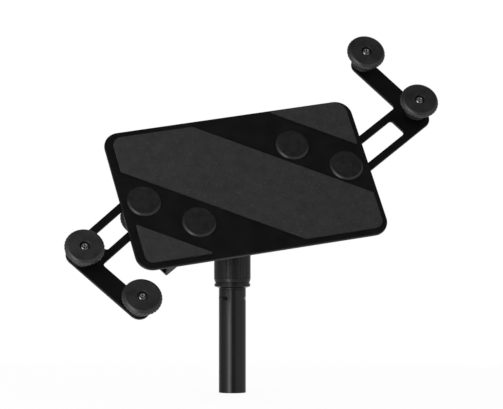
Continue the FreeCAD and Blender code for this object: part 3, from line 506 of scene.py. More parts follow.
def row_tree():
    """Tree that repeats a piece in a row of places."""
    tree, given = rule_tree("row_of_pieces", {
        "Count": ("Int", 2), "First place": ("Vector", None), "Step": ("Vector", None)})
    line = add(tree, "GeometryNodeMeshLine", {
        "Count": given["Count"], "Start Location": given["First place"], "Offset": given["Step"]})
    pieces = add(tree, "GeometryNodeInstanceOnPoints", {"Points": line, "Instance": given["Geometry"]})
    return closed_tree(tree, given, pieces)


RULES = {
    "notches": lambda: radial_tree("notches_around", {
        "Count": ("Int", 32), "First angle": ("Float", 0.0), "Notch radius": ("Float", 0.0009),
        "Centre distance": ("Float", 0.017)}, notch_limit),
    "flats": lambda: radial_tree("flats_around", {
        "Count": ("Int", 6), "First angle": ("Float", pi / 6), "Flat distance": ("Float", 0.005)},
        flat_limit),
    "thread": lambda: radial_tree("thread_along", {
        "Pitch": ("Float", 0.001), "Depth": ("Float", 0.0005)}, thread_limit),
    "crimps": lambda: radial_tree("crimps_around", {
        "Count": ("Int", 3), "First angle": ("Float", 0.0), "Half span": ("Float", 0.3),
        "Crimp height": ("Float", 0.08), "Half width": ("Float", 0.0012), "Depth": ("Float", 0.001)},
        crimp_limit),
    "row": row_tree,
}
TREES = {}


def by_rule(piece, rule, material, values):
    """Runs one of the trees on a piece, with lengths in mm, and leaves a plain mesh."""
    tree = TREES.get(rule) or TREES.setdefault(rule, RULES[rule]())
    modifier = piece.modifiers.new(rule, "NODES")
    modifier.node_group = tree
    values = {**values, "Material": material}
    for socket in tree.interface.items_tree:
        if socket.in_out == "INPUT" and socket.name in values:
            value = values[socket.name]
            if isinstance(value, tuple):
                value = [c * MM for c in value]
            elif socket.name not in ("Count", "First angle", "Half span", "Material"):
                value *= MM
            modifier[socket.identifier] = value
    settle(piece)


def settle(piece):
    """Turns what a piece's modifiers make into its own plain mesh."""
    piece.update_tag()
    depsgraph = bpy.context.evaluated_depsgraph_get()
    mesh = bpy.data.meshes.new_from_object(piece.evaluated_get(depsgraph), depsgraph=depsgraph)
    piece.modifiers.clear()
    old = piece.data
    piece.data = mesh
    if old.users == 0:
        bpy.data.meshes.remove(old)


# Meshes, drawn in millimetres


def rounded(corners, steps=4):
    """Outline of points from corners of (x, y, radius)."""
    points = []
    number = len(corners)
    for index, corner in enumerate(corners):
        here = Vector(corner[:2])
        radius = corner[2] if len(corner) > 2 else 0.0
        before = Vector(corners[index - 1][:2]) - here
        after = Vector(corners[(index + 1) % number][:2]) - here
        if radius <= 0 or before.length < 1e-9 or after.length < 1e-9:
            points.append(here)
            continue
        before.normalize()
        after.normalize()
        half = acos(max(-1.0, min(1.0, before.dot(after)))) / 2
        if half > pi / 2 - 1e-3:
            points.append(here)
            continue
        centre = here + (before + after).normalized() * (radius / sin(half))
        first = here + before * (radius / tan(half)) - centre
        last = here + after * (radius / tan(half)) - centre
        start = atan2(first.y, first.x)
        sweep = (atan2(last.y, last.x) - start + pi) % tau - pi
        for step in range(steps + 1):
            angle = start + sweep * step / steps
            points.append(centre + Vector((cos(angle), sin(angle))) * radius)
    return [point for k, point in enumerate(points) if (point - points[k - 1]).length > 1e-5]


def graded(points, low, high, step):
    """Adds levels to an outline's long edges between two heights."""
    out = []
    for index, point in enumerate(points):
        out.append(point)
        after = points[(index + 1) % len(points)]
        run = (after - point).length
        if run > step and low - 1e-3 <= min(point.y, after.y) and max(point.y, after.y) <= high + 1e-3:
            number = int(run / step) + 1
            out += [point.lerp(after, k / number) for k in range(1, number)]
    return out


def stations(number, parts):
    """Angles around an axis, at the same parts of each of a number of like places."""
    whole = tau / number
    return [whole * (k + part) for k in range(number) for part in parts]


def merged(mesh, distance, outward=False):
    """Makes a mesh's close points one and, where asked, turns its faces outward."""
    build = bmesh.new()
    build.from_mesh(mesh)
    bmesh.ops.remove_doubles(build, verts=build.verts, dist=distance)
    if outward:
        bmesh.ops.recalc_face_normals(build, faces=build.faces)
    build.to_mesh(mesh)
    build.free()
    return mesh


def solid(points, faces):
    """Mesh in metres with its faces turned outward, from points in millimetres."""
    mesh = bpy.data.meshes.new("piece")
    mesh.from_pydata([[c * MM for c in point] for point in points], [], faces)
    return merged(mesh, 1e-8, True)


def turned(outline, angles=96, fine=(), steps=4):
    """Closed solid of revolution about Z from an outline of (radius, height, rounding) corners."""
    if isinstance(angles, int):
        angles = [tau * k / angles for k in range(angles)]
    outline = rounded(outline, steps)
    for low, high, step in fine:
        outline = graded(outline, low, high, step)
    number = len(angles)
    ways = [(cos(a), sin(a)) for a in angles]
    points, rings = [], []
    for radius, height in outline:
        if radius < 1e-6:
            rings.append([len(points)] * number)
            points.append((0, 0, height))
        else:
            rings.append(list(range(len(points), len(points) + number)))
            points += [(radius * x, radius * y, height) for x, y in ways]
    faces = []
    for index, lower in enumerate(rings):
        upper = rings[(index + 1) % len(rings)]
        if lower[0] == lower[1] and upper[0] == upper[1]:
            continue
        for k in range(number):
            n = (k + 1) % number
            face = [lower[k], lower[n], upper[n], upper[k]]
            faces.append([v for i, v in enumerate(face) if v != face[i - 1]])
    return solid(points, faces)


def shifted(loop, inset):
    """Outline moved to its left by an inset."""
    if inset == 0:
        return [Vector(p) for p in loop]
    out = []
    for index, point in enumerate(loop):
        before = (point - loop[index - 1]).normalized()
        after = (loop[(index + 1) % len(loop)] - point).normalized()
        left = Vector((-before.y, before.x)) + Vector((-after.y, after.x))
        out.append(point + left * (inset * 2 / max(left.length_squared, 0.5)))
    return out


def wound(loop, outer):
    """The outline, counter-clockwise for an outer one and clockwise for a hole."""
    area = sum(p.x * loop[k - 1].y - loop[k - 1].x * p.y for k, p in enumerate(loop))
    return loop if (area < 0) == outer else loop[::-1]


def flat_piece(outline, low, high, edge, holes=(), steps=4, levels=None, top=None):
    """Closed flat piece with rounded edges from an outline and the outlines of its holes.

    Its underside's edge is half as round as its face's. levels are (inset, height) from its
    underside to its face, and top fills its face."""
    loops = [wound(outline, True)] + [wound(hole, False) for hole in holes]
    if levels is None:
        arc = [(edge * (1 - sin(a)), edge * (1 - cos(a)))
               for a in (pi / 2 * k / steps for k in range(steps + 1))]
        levels = [(inset / 2, low + rise / 2) for inset, rise in arc]
        levels += [(inset, high - rise) for inset, rise in reversed(arc)]
    points, faces, starts = [], [], []
    for inset, height in levels:
        starts.append([])
        for loop in loops:
            starts[-1].append(len(points))
            points += [(p.x, p.y, height) for p in shifted(loop, inset)]
    for lower, upper in zip(starts, starts[1:]):
        for loop, one, two in zip(loops, lower, upper):
            size = len(loop)
            faces += [[one + k, one + (k + 1) % size, two + (k + 1) % size, two + k] for k in range(size)]
    for level, (inset, height) in ((0, levels[0]), (-1, levels[-1])):
        rings = [shifted(loop, inset) for loop in loops]
        if level == -1 and top:
            start = starts[level][0]
            extra, cover = top(rings[0], height)
            mark = len(points)
            points += extra
            size = len(rings[0])
            faces += [[start + v if v < size else mark + v - size for v in face] for face in cover]
            continue
        order = [start + k for loop, start in zip(loops, starts[level]) for k in range(len(loop))]
        cover = tessellate_polygon([[p.to_3d() for p in loop] for loop in rings])
        faces += [[order[v] for v in face] for face in cover]
    return solid(points, faces)


def joined(*meshes):
    """One mesh from several closed ones."""
    build = bmesh.new()
    for mesh in meshes:
        build.from_mesh(mesh)
    whole = bpy.data.meshes.new("joined")
    build.to_mesh(whole)
    build.free()
    return whole


def made(name, mesh, place, body, nodes, slot, rules=(), sharp=35, finish=None):
    """Puts a mesh in place as a plain piece of its body that stands for its CAD nodes."""
    material = (finish or FINISHES[slot])(bpy.context.scene.holder_colours)
    piece = bpy.data.objects.new(name, mesh)
    bpy.context.scene.collection.objects.link(piece)
    mesh.materials.clear()
    mesh.materials.append(material)
    for rule, values in rules:
        by_rule(piece, rule, material, values)
    mesh = piece.data
    mesh.name = name
    mesh.shade_smooth()
    mesh.set_sharp_from_angle(angle=radians(sharp))
    mesh.transform(place)
    weigh = piece.modifiers.new("weigh", "WEIGHTED_NORMAL")
    weigh.keep_sharp = True
    settle(piece)
    piece.data.name = name
    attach(piece, body)
    if nodes:
        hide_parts(*nodes)
    return piece


def cast(name, node, body, slot):
    """Cast piece grown from a merged copy of a CAD node, its edges soft as a casting's are."""
    voxel, soften = 0.45, 7
    piece = bpy.data.objects.new(name, merged(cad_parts[node].data.copy(), 1e-7))
    bpy.context.scene.collection.objects.link(piece)
    remesh = piece.modifiers.new("skin", "REMESH")
    remesh.mode = "VOXEL"
    remesh.voxel_size = voxel * MM
    smooth = piece.modifiers.new("soften", "SMOOTH")
    smooth.factor = 0.5
    smooth.iterations = soften
    settle(piece)
    mesh = piece.data
    bpy.data.objects.remove(piece)
    return made(name, mesh, Matrix(), body, [node], slot, sharp=180)


def carry_over(slot, node):
    """Gives a CAD node whose shape is right the material of its slot."""
    material = FINISHES[slot](bpy.context.scene.holder_colours)
    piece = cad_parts[node]
    if not piece.material_slots:
        piece.data.materials.append(material)
    for place in piece.material_slots:
        place.material = material


def circle(radius, x=0.0, y=0.0, number=32):
    """Round outline, in millimetres."""
    return [Vector((x + radius * cos(tau * k / number), y + radius * sin(tau * k / number)))
            for k in range(number)]


def box_outline(width, depth, radius=0.0, x=0.0, steps=6):
    """Oblong outline with rounded corners."""
    corners = ((1, 1), (-1, 1), (-1, -1), (1, -1))
    return rounded([(x + a * width / 2, b * depth / 2, radius) for a, b in corners], steps)


def ring(inner, outer, low, high, edge=0.2):
    """Plain turned ring such as a washer or a spacer."""
    corners = ((inner, low), (outer, low), (outer, high), (inner, high))
    return turned([(*corner, edge) for corner in corners], 72, steps=2)


def hexagon_nut(hole, width, low, high):
    """Blank of a hexagon nut, turned with a chamfer at both ends, and the rule that mills its flats."""
    corner = width / 2 / cos(pi / 6)
    face = width / 2 * 0.97
    fall = (corner - face) * tan(radians(30))
    lead = 0.35
    mouth = hole + lead
    blank = turned([
        (hole, low + lead), (mouth, low), (face, low), (corner, low + fall), (corner, high - fall),
        (face, high), (mouth, high), (hole, high - lead)], 96,
        fine=[(low, low + fall, 0.08), (high - fall, high, 0.08)])
    return blank, ("flats", {"Flat distance": width / 2, "From radius": hole + 0.6})


def notched(sizes):
    """Rule that cuts the notches around a roller's or a knob's rim, and the angles that it needs."""
    depth = sizes.roller_notch / 2
    parts = (0, 0.08, 0.15, 0.2, 0.235, 0.26, 0.32, 0.42, 0.58, 0.68, 0.74, 0.765, 0.8, 0.85, 0.92)
    rule = ("notches", {
        "Count": sizes.roller_notches, "Notch radius": sizes.roller_notch,
        "Centre distance": sizes.roller_radius + sizes.roller_notch - depth,
        "Foot": CAP_FOOT, "Top": RIM_TOP, "From radius": 12})
    return rule, stations(sizes.roller_notches, parts)


def rim_outline(sizes):
    """Outline of a roller's cap from its underside to its face."""
    radius = sizes.roller_radius
    return [
        (12.5, CAP_FOOT), (radius, 18.8, 0.35), (radius, 20.1, 0.3), (radius - 0.5, 20.4, 0.15),
        (radius - 0.5, 21.4, 0.9), (radius - 2.6, 23.0, 1.9)]


def hub_outline(foot):
    """Outline of a hub with its raised rings, from its foot up to the cap."""
    outer, inner, half = 10.2, 9.4, 0.45
    rise = (CAP_FOOT - foot) / 3
    outline = [(outer, foot, 0.4)]
    for middle in (foot + rise, foot + 2 * rise):
        outline += [
            (outer, middle - half, 0.3), (inner, middle - half, 0.15), (inner, middle + half, 0.15),
            (outer, middle + half, 0.3)]
    return outline + [(outer, CAP_FOOT)]


def knob_mesh(sizes, angles):
    """Knob with a roller's rim and hub, a bore for its insert and a shallow dish in its face."""
    return turned(hub_outline(0) + rim_outline(sizes) + [
        (11.6, 23.0, 0.4), (11.2, 22.75, 0.4), (0, 22.75), (0, 17), (M6_HOLE, 17),
        (M6_HOLE, 12), (5.0, 12), (5.0, 0)], angles, steps=5)


def cap_outline(sizes, tail, thread_top):
    """Outline of a bolt with a wide low cap that lies on the plate's front."""
    radius = sizes.cap_radius
    return [
        (0, tail), (M6 - 0.5, tail), (M6, tail + 0.5), (M6, thread_top), (M6, -0.3), (M6, 0),
        (radius, 0, 0.15), (radius, 0.8, 0.5), (radius - 1.5, 2.2, 1.4), (0, 2.2)]


class HOLDER_OT_upright_tube(bpy.types.Operator):
    """Upright tube of the stand, with the crimps that hold the clutch in its top"""
    bl_idname = "holder.upright_tube"
    bl_label = "Upright tube"

    def execute(self, context):
        sizes = in_mm(context.scene.holder_sizes)
        radius = sizes.tube_radius
        inside = radius - 1.5
        tube = turned([
            (inside, 0, 0.3), (radius, 0, 0.35), (radius, CRIMP_FOOT), (radius, CRIMP_TOP),
            (radius, TUBE_TOP, 0.5), (inside, TUBE_TOP, 0.2)], 240, fine=[(CRIMP_FOOT, CRIMP_TOP, 0.2)])
        crimps = ("crimps", {
            "First angle": radians(-148), "Half span": radians(22), "Half width": 1.6,
            "Crimp height": (CRIMP_FOOT + CRIMP_TOP) / 2, "Depth": sizes.crimp_depth,
            "From radius": radius - 0.4})
        made("stand_tube_crimped", tube, Matrix(), "root", ["stand_tube"], "black_gloss_tube", [crimps])
        return {"FINISHED"}


class HOLDER_OT_clutch(bpy.types.Operator):
    """Twist clutch: its base in the tube, the split collet and the grooved nut"""
    bl_idname = "holder.clutch"
    bl_label = "Clutch"

    def execute(self, context):
        sizes = in_mm(context.scene.holder_sizes)
        bore, spigot, neck, boss, lip, flange, grip = 8.01, 10.15, 11.7, 12, 14.8, 15.5, 15.8
        base = turned([
            (bore, 67), (spigot, 67, 0.4), (spigot, TUBE_TOP), (neck, TUBE_TOP, 0.3), (neck, 90.2, 0.1),
            (flange, 91.6, 0.2), (flange, 94, 0.2), (lip, 94, 0.1), (lip, 95.3, 0.2), (boss, 95.3),
            (boss, 109.3, 0.5), (bore, 109.3)], 144)
        made("clutch_base_moulding", base, Matrix(), "root", ["clutch_base"], "black_satin_plastic",
             finish=clutch_moulding)
        parts = (0, 0.05, 0.09, 0.12, 0.15, 0.18, 0.26, 0.38, 0.5, 0.62, 0.74, 0.82, 0.85, 0.88, 0.91, 0.95)
        nut = turned([
            (12.05, NUT_FOOT), (15.1, NUT_FOOT, 0.35), (grip, 98, 1.2), (grip, GROOVE_FOOT), (grip, 100.4),
            (grip, 118.6), (grip, 119.8), (grip, 120.3, 0.4), (15.1, NUT_TOP, 0.4), (8.11, NUT_TOP, 0.4),
            (8.11, 118.4), (9.4, 118.4), (10.6, 113.9), (10.6, 109.4), (12.05, 109.4)],
            stations(sizes.nut_grooves, parts), fine=[(GROOVE_FOOT, 100.4, 0.2), (118.6, 119.8, 0.2)])
        grooves = ("notches", {
            "Count": sizes.nut_grooves, "Notch radius": sizes.nut_groove_depth,
            "Centre distance": grip + 0.15, "Foot": GROOVE_FOOT, "Top": GROOVE_TOP,
            "Run-out": 0.6, "From radius": 14.6})
        made("clutch_nut_grooved", nut, Matrix(), "clutch_nut", ["clutch_nut"], "black_satin_plastic",
             [grooves], finish=clutch_moulding)
        return {"FINISHED"}


class HOLDER_OT_inner_tube(bpy.types.Operator):
    """Inner tube that slides in the clutch, its threaded stud and the lock ring"""
    bl_idname = "holder.inner_tube"
    bl_label = "Inner tube"

    def execute(self, context):
        inside, outside = 6.75, 7.95
        tube = turned([
            (inside, 6, 0.2), (outside, 6, 0.4), (outside, INNER_TUBE_TOP, 0.5),
            (inside, INNER_TUBE_TOP, 0.2)], 128)
        made("inner_tube_polished", tube, Matrix(), "inner_tube", ["inner_tube"], "chrome_tube")
        stud = turned([
            (0, 107), (inside, 107, 0.4), (inside, INNER_TUBE_TOP), (7.9, INNER_TUBE_TOP),
            (7.9, STUD_TOP - 1), (6.9, STUD_TOP), (0, STUD_TOP)], 72,
            fine=[(INNER_TUBE_TOP, STUD_TOP - 1, 0.16)])
        thread = ("thread", {
            "Pitch": 0.94, "Depth": 0.5, "Foot": INNER_TUBE_TOP, "Top": STUD_TOP + 0.2, "Run-out": 0.4,
            "From radius": 6.8})
        made("stud_threaded", stud, Matrix(), "inner_tube", ["threaded_stud"], "zinc_steel", [thread])
        parts = (0, 0.06, 0.12, 0.18, 0.22, 0.25, 0.3, 0.4, 0.5, 0.6, 0.7, 0.75, 0.78, 0.82, 0.88, 0.94)
        foot, top, bevel, rim, number = 127, 133, 0.8, 12.5, 24
        ring_mesh = turned([
            (outside, foot, 0.3), (rim - bevel, foot, 0.25), (rim, foot + bevel, 0.25),
            (rim, top - bevel, 0.25), (rim - bevel, top, 0.25), (outside, top, 0.3)],
            stations(number, parts))
        notches = ("notches", {
            "Count": number, "Notch radius": 0.8, "Centre distance": rim, "From radius": 10})
        made("lock_ring_notched", ring_mesh, Matrix(), "lock_ring", ["lock_ring"], "zinc_steel", [notches])
        return {"FINISHED"}


class HOLDER_OT_head(bpy.types.Operator):
    """Cast socket and fork of the tilting head, with the bolt and the knob that lock it"""
    bl_idname = "holder.head"
    bl_label = "Head"

    def execute(self, context):
        sizes = in_mm(context.scene.holder_sizes)
        cast("head_socket_casting", "head_socket", "head", "black_cast_metal")
        cast("tilt_fork_casting", "tilt_knuckle", "knuckle", "black_cast_metal")
        # Across the pivot, the bolt's head bears on one washer and the knob on the other.
        across, bearing, tail = TILT @ SIDEWAYS, 15.3, 31.4
        bolt = turned([
            (0, -16.9), (2.887, -16.9), (2.887, -19.0), (3.2, -19.3), (5.5, -19.3, 0.3), (6.5, -18.3, 0.3),
            (6.5, -bearing, 0.2), (M6, -bearing), (M6, tail, 0.4), (0, tail)], 96)
        socket = ("flats", {"Flat distance": 2.5, "Top": -16.5, "To radius": 2.95})
        made("tilt_bolt_socketed", bolt, across, "knuckle", ["tilt_bolt"], "zinc_steel", [socket])
        pair = ("row", {"First place": (0, 0, -bearing), "Step": (0, 0, 2 * bearing - WASHER)})
        made("tilt_washer_pair", ring(M6_HOLE, 8.5, 0, WASHER), across, "knuckle", ["tilt_washers"],
             "zinc_steel", [pair])
        rule, angles = notched(sizes)
        made("tilt_knob_moulding", knob_mesh(sizes, angles), across @ at(z=bearing + 0.1), "tilt_knob",
             ["tilt_knob"], "black_satin_plastic", [rule])
        carry_over("brass_insert", "tilt_knob_insert")
        return {"FINISHED"}


class HOLDER_OT_back_plate(bpy.types.Operator):
    """Painted steel plate that carries the tablet's pads"""
    bl_idname = "holder.back_plate"
    bl_label = "Plate"

    def execute(self, context):
        sizes = in_mm(context.scene.holder_sizes)
        cuts = [(frame_of_hole, box_outline(SQUARE_HOLE, SQUARE_HOLE)) for frame_of_hole in CLAMP.values()]
        cuts += [(DIAGONAL, circle(M6_HOLE, x)) for x in (-SPINE_BOLT_ALONG, SPINE_BOLT_ALONG)]
        holes = [
            [(PLATE.inverted() @ where @ (p * MM).to_3d()).to_2d() / MM for p in cut] for where, cut in cuts]
        outline = box_outline(PLATE_WIDTH, PLATE_HEIGHT, PLATE_CORNER, steps=16)
        plate = flat_piece(outline, PLATE_BACK, 0, sizes.plate_edge, holes, 5)
        made("plate_sheet", plate, PLATE, "plate", ["back_plate"], "black_plate_paint")
        return {"FINISHED"}


class HOLDER_OT_foam_pads(bpy.types.Operator):
    """Three foam pads glued to the plate's face: a wide slanting strip and two corners"""
    bl_idname = "holder.foam_pads"
    bl_label = "Foam pads"

    def execute(self, context):
        sizes = in_mm(context.scene.holder_sizes)
        edge, crown = sizes.foam_edge, sizes.foam_crown
        left, right, low, high, top, slope = -102.4, 105.6, -61.4, 61.4, 65.4, radians(33)
        above, below, corner, tip, bend = 34.4, -31.9, 75.5, 0.7, 8

        def along(distance, y):
            """Corner where a slanting cut at a distance from the middle meets a level edge."""
            return (distance - y * cos(slope)) / sin(slope), y, tip

        def up(distance, x):
            """Corner where such a cut meets an upright edge."""
            return x, (distance - x * sin(slope)) / cos(slope), tip

        pads = {
            "foam_strip": [
                along(above, high), (left, high, bend), up(below, left), along(below, low),
                (right, low, bend), up(above, right)],
            "foam_corner_lower": [along(-corner, low), (left, low, bend), up(-corner, left)],
            "foam_corner_upper": [along(corner, top), (right, top, 11), up(corner, right)]}
        face = 2.0 - crown
        # The adhesive carrier under the foam stands out a little beyond a fine groove.
        levels = [
            (0.12, 0.0), (0.0, 0.12), (0.0, 0.42), (0.1, 0.5), (0.42, 0.55), (0.42, 0.75), (0.12, 0.85),
            (0.1, face - edge * 0.95), (0.1 + edge * 0.15, face - edge * 0.5),
            (0.1 + edge * 0.45, face - edge * 0.15), (0.1 + edge, face)]
        for name, corners in pads.items():
            outline = rounded(corners, 8)
            pad = flat_piece(outline, 0, face, edge, levels=levels,
                             top=lambda loop, height: foam_cover(loop, height, crown))
            piece = made(name + "_pad", pad, PLATE, "plate", [name], "foam_rubber", sharp=60)
        return {"FINISHED"}


def foam_cover(loop, height, crown):
    """Face of a foam pad: it swells away from its cut edge and is never quite level."""
    low = Vector((min(p.x for p in loop), min(p.y for p in loop)))
    high = Vector((max(p.x for p in loop), max(p.y for p in loop)))
    edges = list(zip(loop, loop[1:] + loop[:1]))

    def depth(point):
        """Distance inside the pad's edge, negative outside."""
        nearest, inside = 1e9, False
        for a, b in edges:
            run = b - a
            part = max(0.0, min(1.0, (point - a).dot(run) / run.length_squared))
            nearest = min(nearest, (a + run * part - point).length)
            if (a.y > point.y) != (b.y > point.y) and point.x < a.x + (point.y - a.y) / (b.y - a.y) * run.x:
                inside = not inside
        return nearest if inside else -nearest

    # A grid of even triangles, kept clear of the edge
    step, rise, clear = 2.4, 0.866, 0.9
    points, depths = [], []
    for row in range(int((high.y - low.y) / step / rise) + 2):
        for column in range(int((high.x - low.x) / step) + 2):
            point = low + Vector(((column + row % 2 / 2) * step, row * step * rise))
            inside = depth(point)
            if inside > clear:
                points.append(point)
                depths.append(inside)
    size = len(loop)
    ends = [(k, (k + 1) % size) for k in range(size)]
    _, _, faces, originals, _, _ = delaunay_2d_cdt([*loop, *points], ends, [], 1, 1e-6)
    names = [old[0] for old in originals]
    extra, reach, spread, wave = [], 3.0, 11, 0.05
    for point, inside in zip(points, depths):
        swell = crown * (1 - 2.718 ** (-inside / reach))
        wander = noise.noise(Vector((point.x / spread, point.y / spread, 0.3))) - 1
        extra.append((point.x, point.y, height + swell + wander * wave * min(1.0, inside / reach)))
    return extra, [[names[v] for v in face] for face in faces]


class HOLDER_OT_spine(bpy.types.Operator):
    """Folded channel behind the plate, with the bolts that hold it and the bolt that the plate turns on"""
    bl_idname = "holder.spine"
    bl_label = "Channel"

    def execute(self, context):
        sizes = in_mm(context.scene.holder_sizes)
        half, wall, length_each_way = 13, 2, 106.5
        section = rounded([
            (-half, PLATE_BACK), (-half, SPINE_BACK, wall), (half, SPINE_BACK, wall), (half, PLATE_BACK),
            (half - wall, PLATE_BACK), (half - wall, SPINE_BACK + wall, 0.6),
            (wall - half, SPINE_BACK + wall, 0.6), (wall - half, PLATE_BACK)], 6)
        channel = flat_piece(section, -length_each_way, length_each_way, 0.25, steps=3)
        made("channel_folded", channel, DIAGONAL @ SIDEWAYS, "plate", ["spine_channel"], "black_plate_paint")
        pair = ("row", {"First place": (-SPINE_BOLT_ALONG, 0, 0), "Step": (2 * SPINE_BOLT_ALONG, 0, 0)})
        washer_back = SPINE_BACK - WASHER
        nut_back = washer_back - 5.5
        tail, thread_top = nut_back - 2, -16
        bolt = turned(cap_outline(sizes, tail, thread_top), 96, fine=[(tail + 0.4, thread_top, 0.17)])
        thread = ("thread", {
            "Pitch": 1, "Depth": 0.5, "Foot": tail - 1, "Top": thread_top, "Run-out": 0.5,
            "From radius": 2.6, "To radius": 3.2})
        nut, flats = hexagon_nut(M6, 10, nut_back, washer_back)
        for name, mesh, node, slot, rules in (
                ("bolt", bolt, "bolts", "black_cap_paint", [thread]),
                ("spacer", ring(M6_HOLE, 6, SPINE_BACK + wall, PLATE_BACK), "spacers", "zinc_steel", []),
                ("washer", ring(M6_HOLE, 6.5, washer_back, SPINE_BACK), "washers", "zinc_steel", []),
                ("nut", nut, "nuts", "zinc_steel", [flats])):
            made("spine_%s_pair" % name, mesh, DIAGONAL, "plate", ["spine_" + node], slot, [*rules, pair])
        # The bolt that the plate turns on: its head lies in the channel, its nut behind the flange.
        radius, flange, play = 4, 5, 0.1
        washer_front = FLANGE_FRONT - flange - play
        washer_back = washer_front - WASHER
        nut_back = washer_back - 8
        tail, seat = nut_back - 2, SPINE_BACK + wall
        bolt = turned([
            (0, tail), (radius - 0.6, tail), (radius, tail + 0.6), (radius, washer_back), (radius, seat),
            (9, seat, 0.2), (9, seat + 1, 0.5), (4.5, seat + 4, 2.5), (0, seat + 4)], 96,
            fine=[(tail + 0.5, washer_back, 0.2)])
        thread = ("thread", {
            "Pitch": 1.25, "Depth": 0.6, "Foot": tail - 1, "Top": washer_back,
            "Run-out": 0.5, "From radius": 3.5, "To radius": 4.2})
        nut, flats = hexagon_nut(radius, 13, nut_back, washer_back)
        for name, mesh, node, rules in (
                ("bolt_threaded", bolt, "bolt", [thread]),
                ("rear_washer_turned", ring(4.06, 8.6, washer_back, washer_front), "rear_washer", []),
                ("nut_milled", nut, "nut", [flats])):
            made("swivel_" + name, mesh, PLATE, "plate", ["swivel_" + node], "zinc_steel", rules)
        return {"FINISHED"}


class HOLDER_OT_clamps(bpy.types.Operator):
    """Bolt, clamp plate and knob that hold each arm against the plate's back"""
    bl_idname = "holder.clamps"
    bl_label = "Arm clamps"

    def execute(self, context):
        sizes = in_mm(context.scene.holder_sizes)
        rule, angles = notched(sizes)
        tail = KNOB_FOOT - 16
        for side, place in CLAMP.items():
            neck = flat_piece(box_outline(6, 6, 0.4), CLAMP_PLATE_BACK, 0.2, 0.15)
            bolt = joined(turned(cap_outline(sizes, tail, -8), 96), neck)
            made("clamp_bolt_%s_capped" % side, bolt, place, "plate", ["clamp_bolt_" + side],
                 "black_cap_paint")
            hole = [box_outline(SQUARE_HOLE, SQUARE_HOLE)]
            plate = flat_piece(
                box_outline(28, 30.6, 2.5), CLAMP_PLATE_BACK, CLAMP_PLATE_FRONT, 0.4, hole)
            key = flat_piece(box_outline(20, 13.2, 0.6), CLAMP_PLATE_FRONT, CLAMP_KEY_FRONT, 0.25, hole)
            made("clamp_plate_%s_keyed" % side, joined(plate, key), place, "plate",
                 ["clamp_plate_" + side], "zinc_steel")
            behind = place @ at(z=KNOB_FOOT) @ turn(180, "X")
            made("clamp_knob_%s_moulding" % side, knob_mesh(sizes, angles), behind, "clamp_knob_" + side,
                 ["clamp_knob_" + side], "black_satin_plastic", [rule])
            carry_over("brass_insert", "clamp_insert_" + side)
        return {"FINISHED"}


class HOLDER_OT_arms(bpy.types.Operator):
    """Flat steel arms, each with a slot, a closed inner end and a bar for two rollers"""
    bl_idname = "holder.arms"
    bl_label = "Arms"

    def execute(self, context):
        sizes = in_mm(context.scene.holder_sizes)
        slot_length, half_width, half_bar = 104.55, 15.3, 9.15
        # From the bar's middle to the slot, and the metal that closes the slot's inner end
        to_slot, closing = 21.45, 9
        far_end = ROLLER_SPACING + half_bar
        for side, reach in REACH.items():
            slot_middle = reach - to_slot - slot_length / 2
            inner_end = slot_middle - slot_length / 2 - closing
            near, far = reach - half_bar, reach + half_bar
            outline = rounded([
                (inner_end, -half_width, 6), (far, -half_width, 10), (far, far_end, 9.14),
                (near, far_end, 9.14), (near, half_width, 2.5), (inner_end, half_width, 6)], 12)
            slot = box_outline(slot_length, 16.6, 2.5, slot_middle)
            holes = [slot, circle(2.05, reach), circle(2.05, reach, ROLLER_SPACING)]
            sheet = flat_piece(outline, ARM_FRONT - 2, ARM_FRONT, sizes.arm_edge, holes)
            made("arm_%s_sheet" % side, sheet, ARM[side], "arm_" + side, ["arm_" + side], "black_arm_paint")
        return {"FINISHED"}


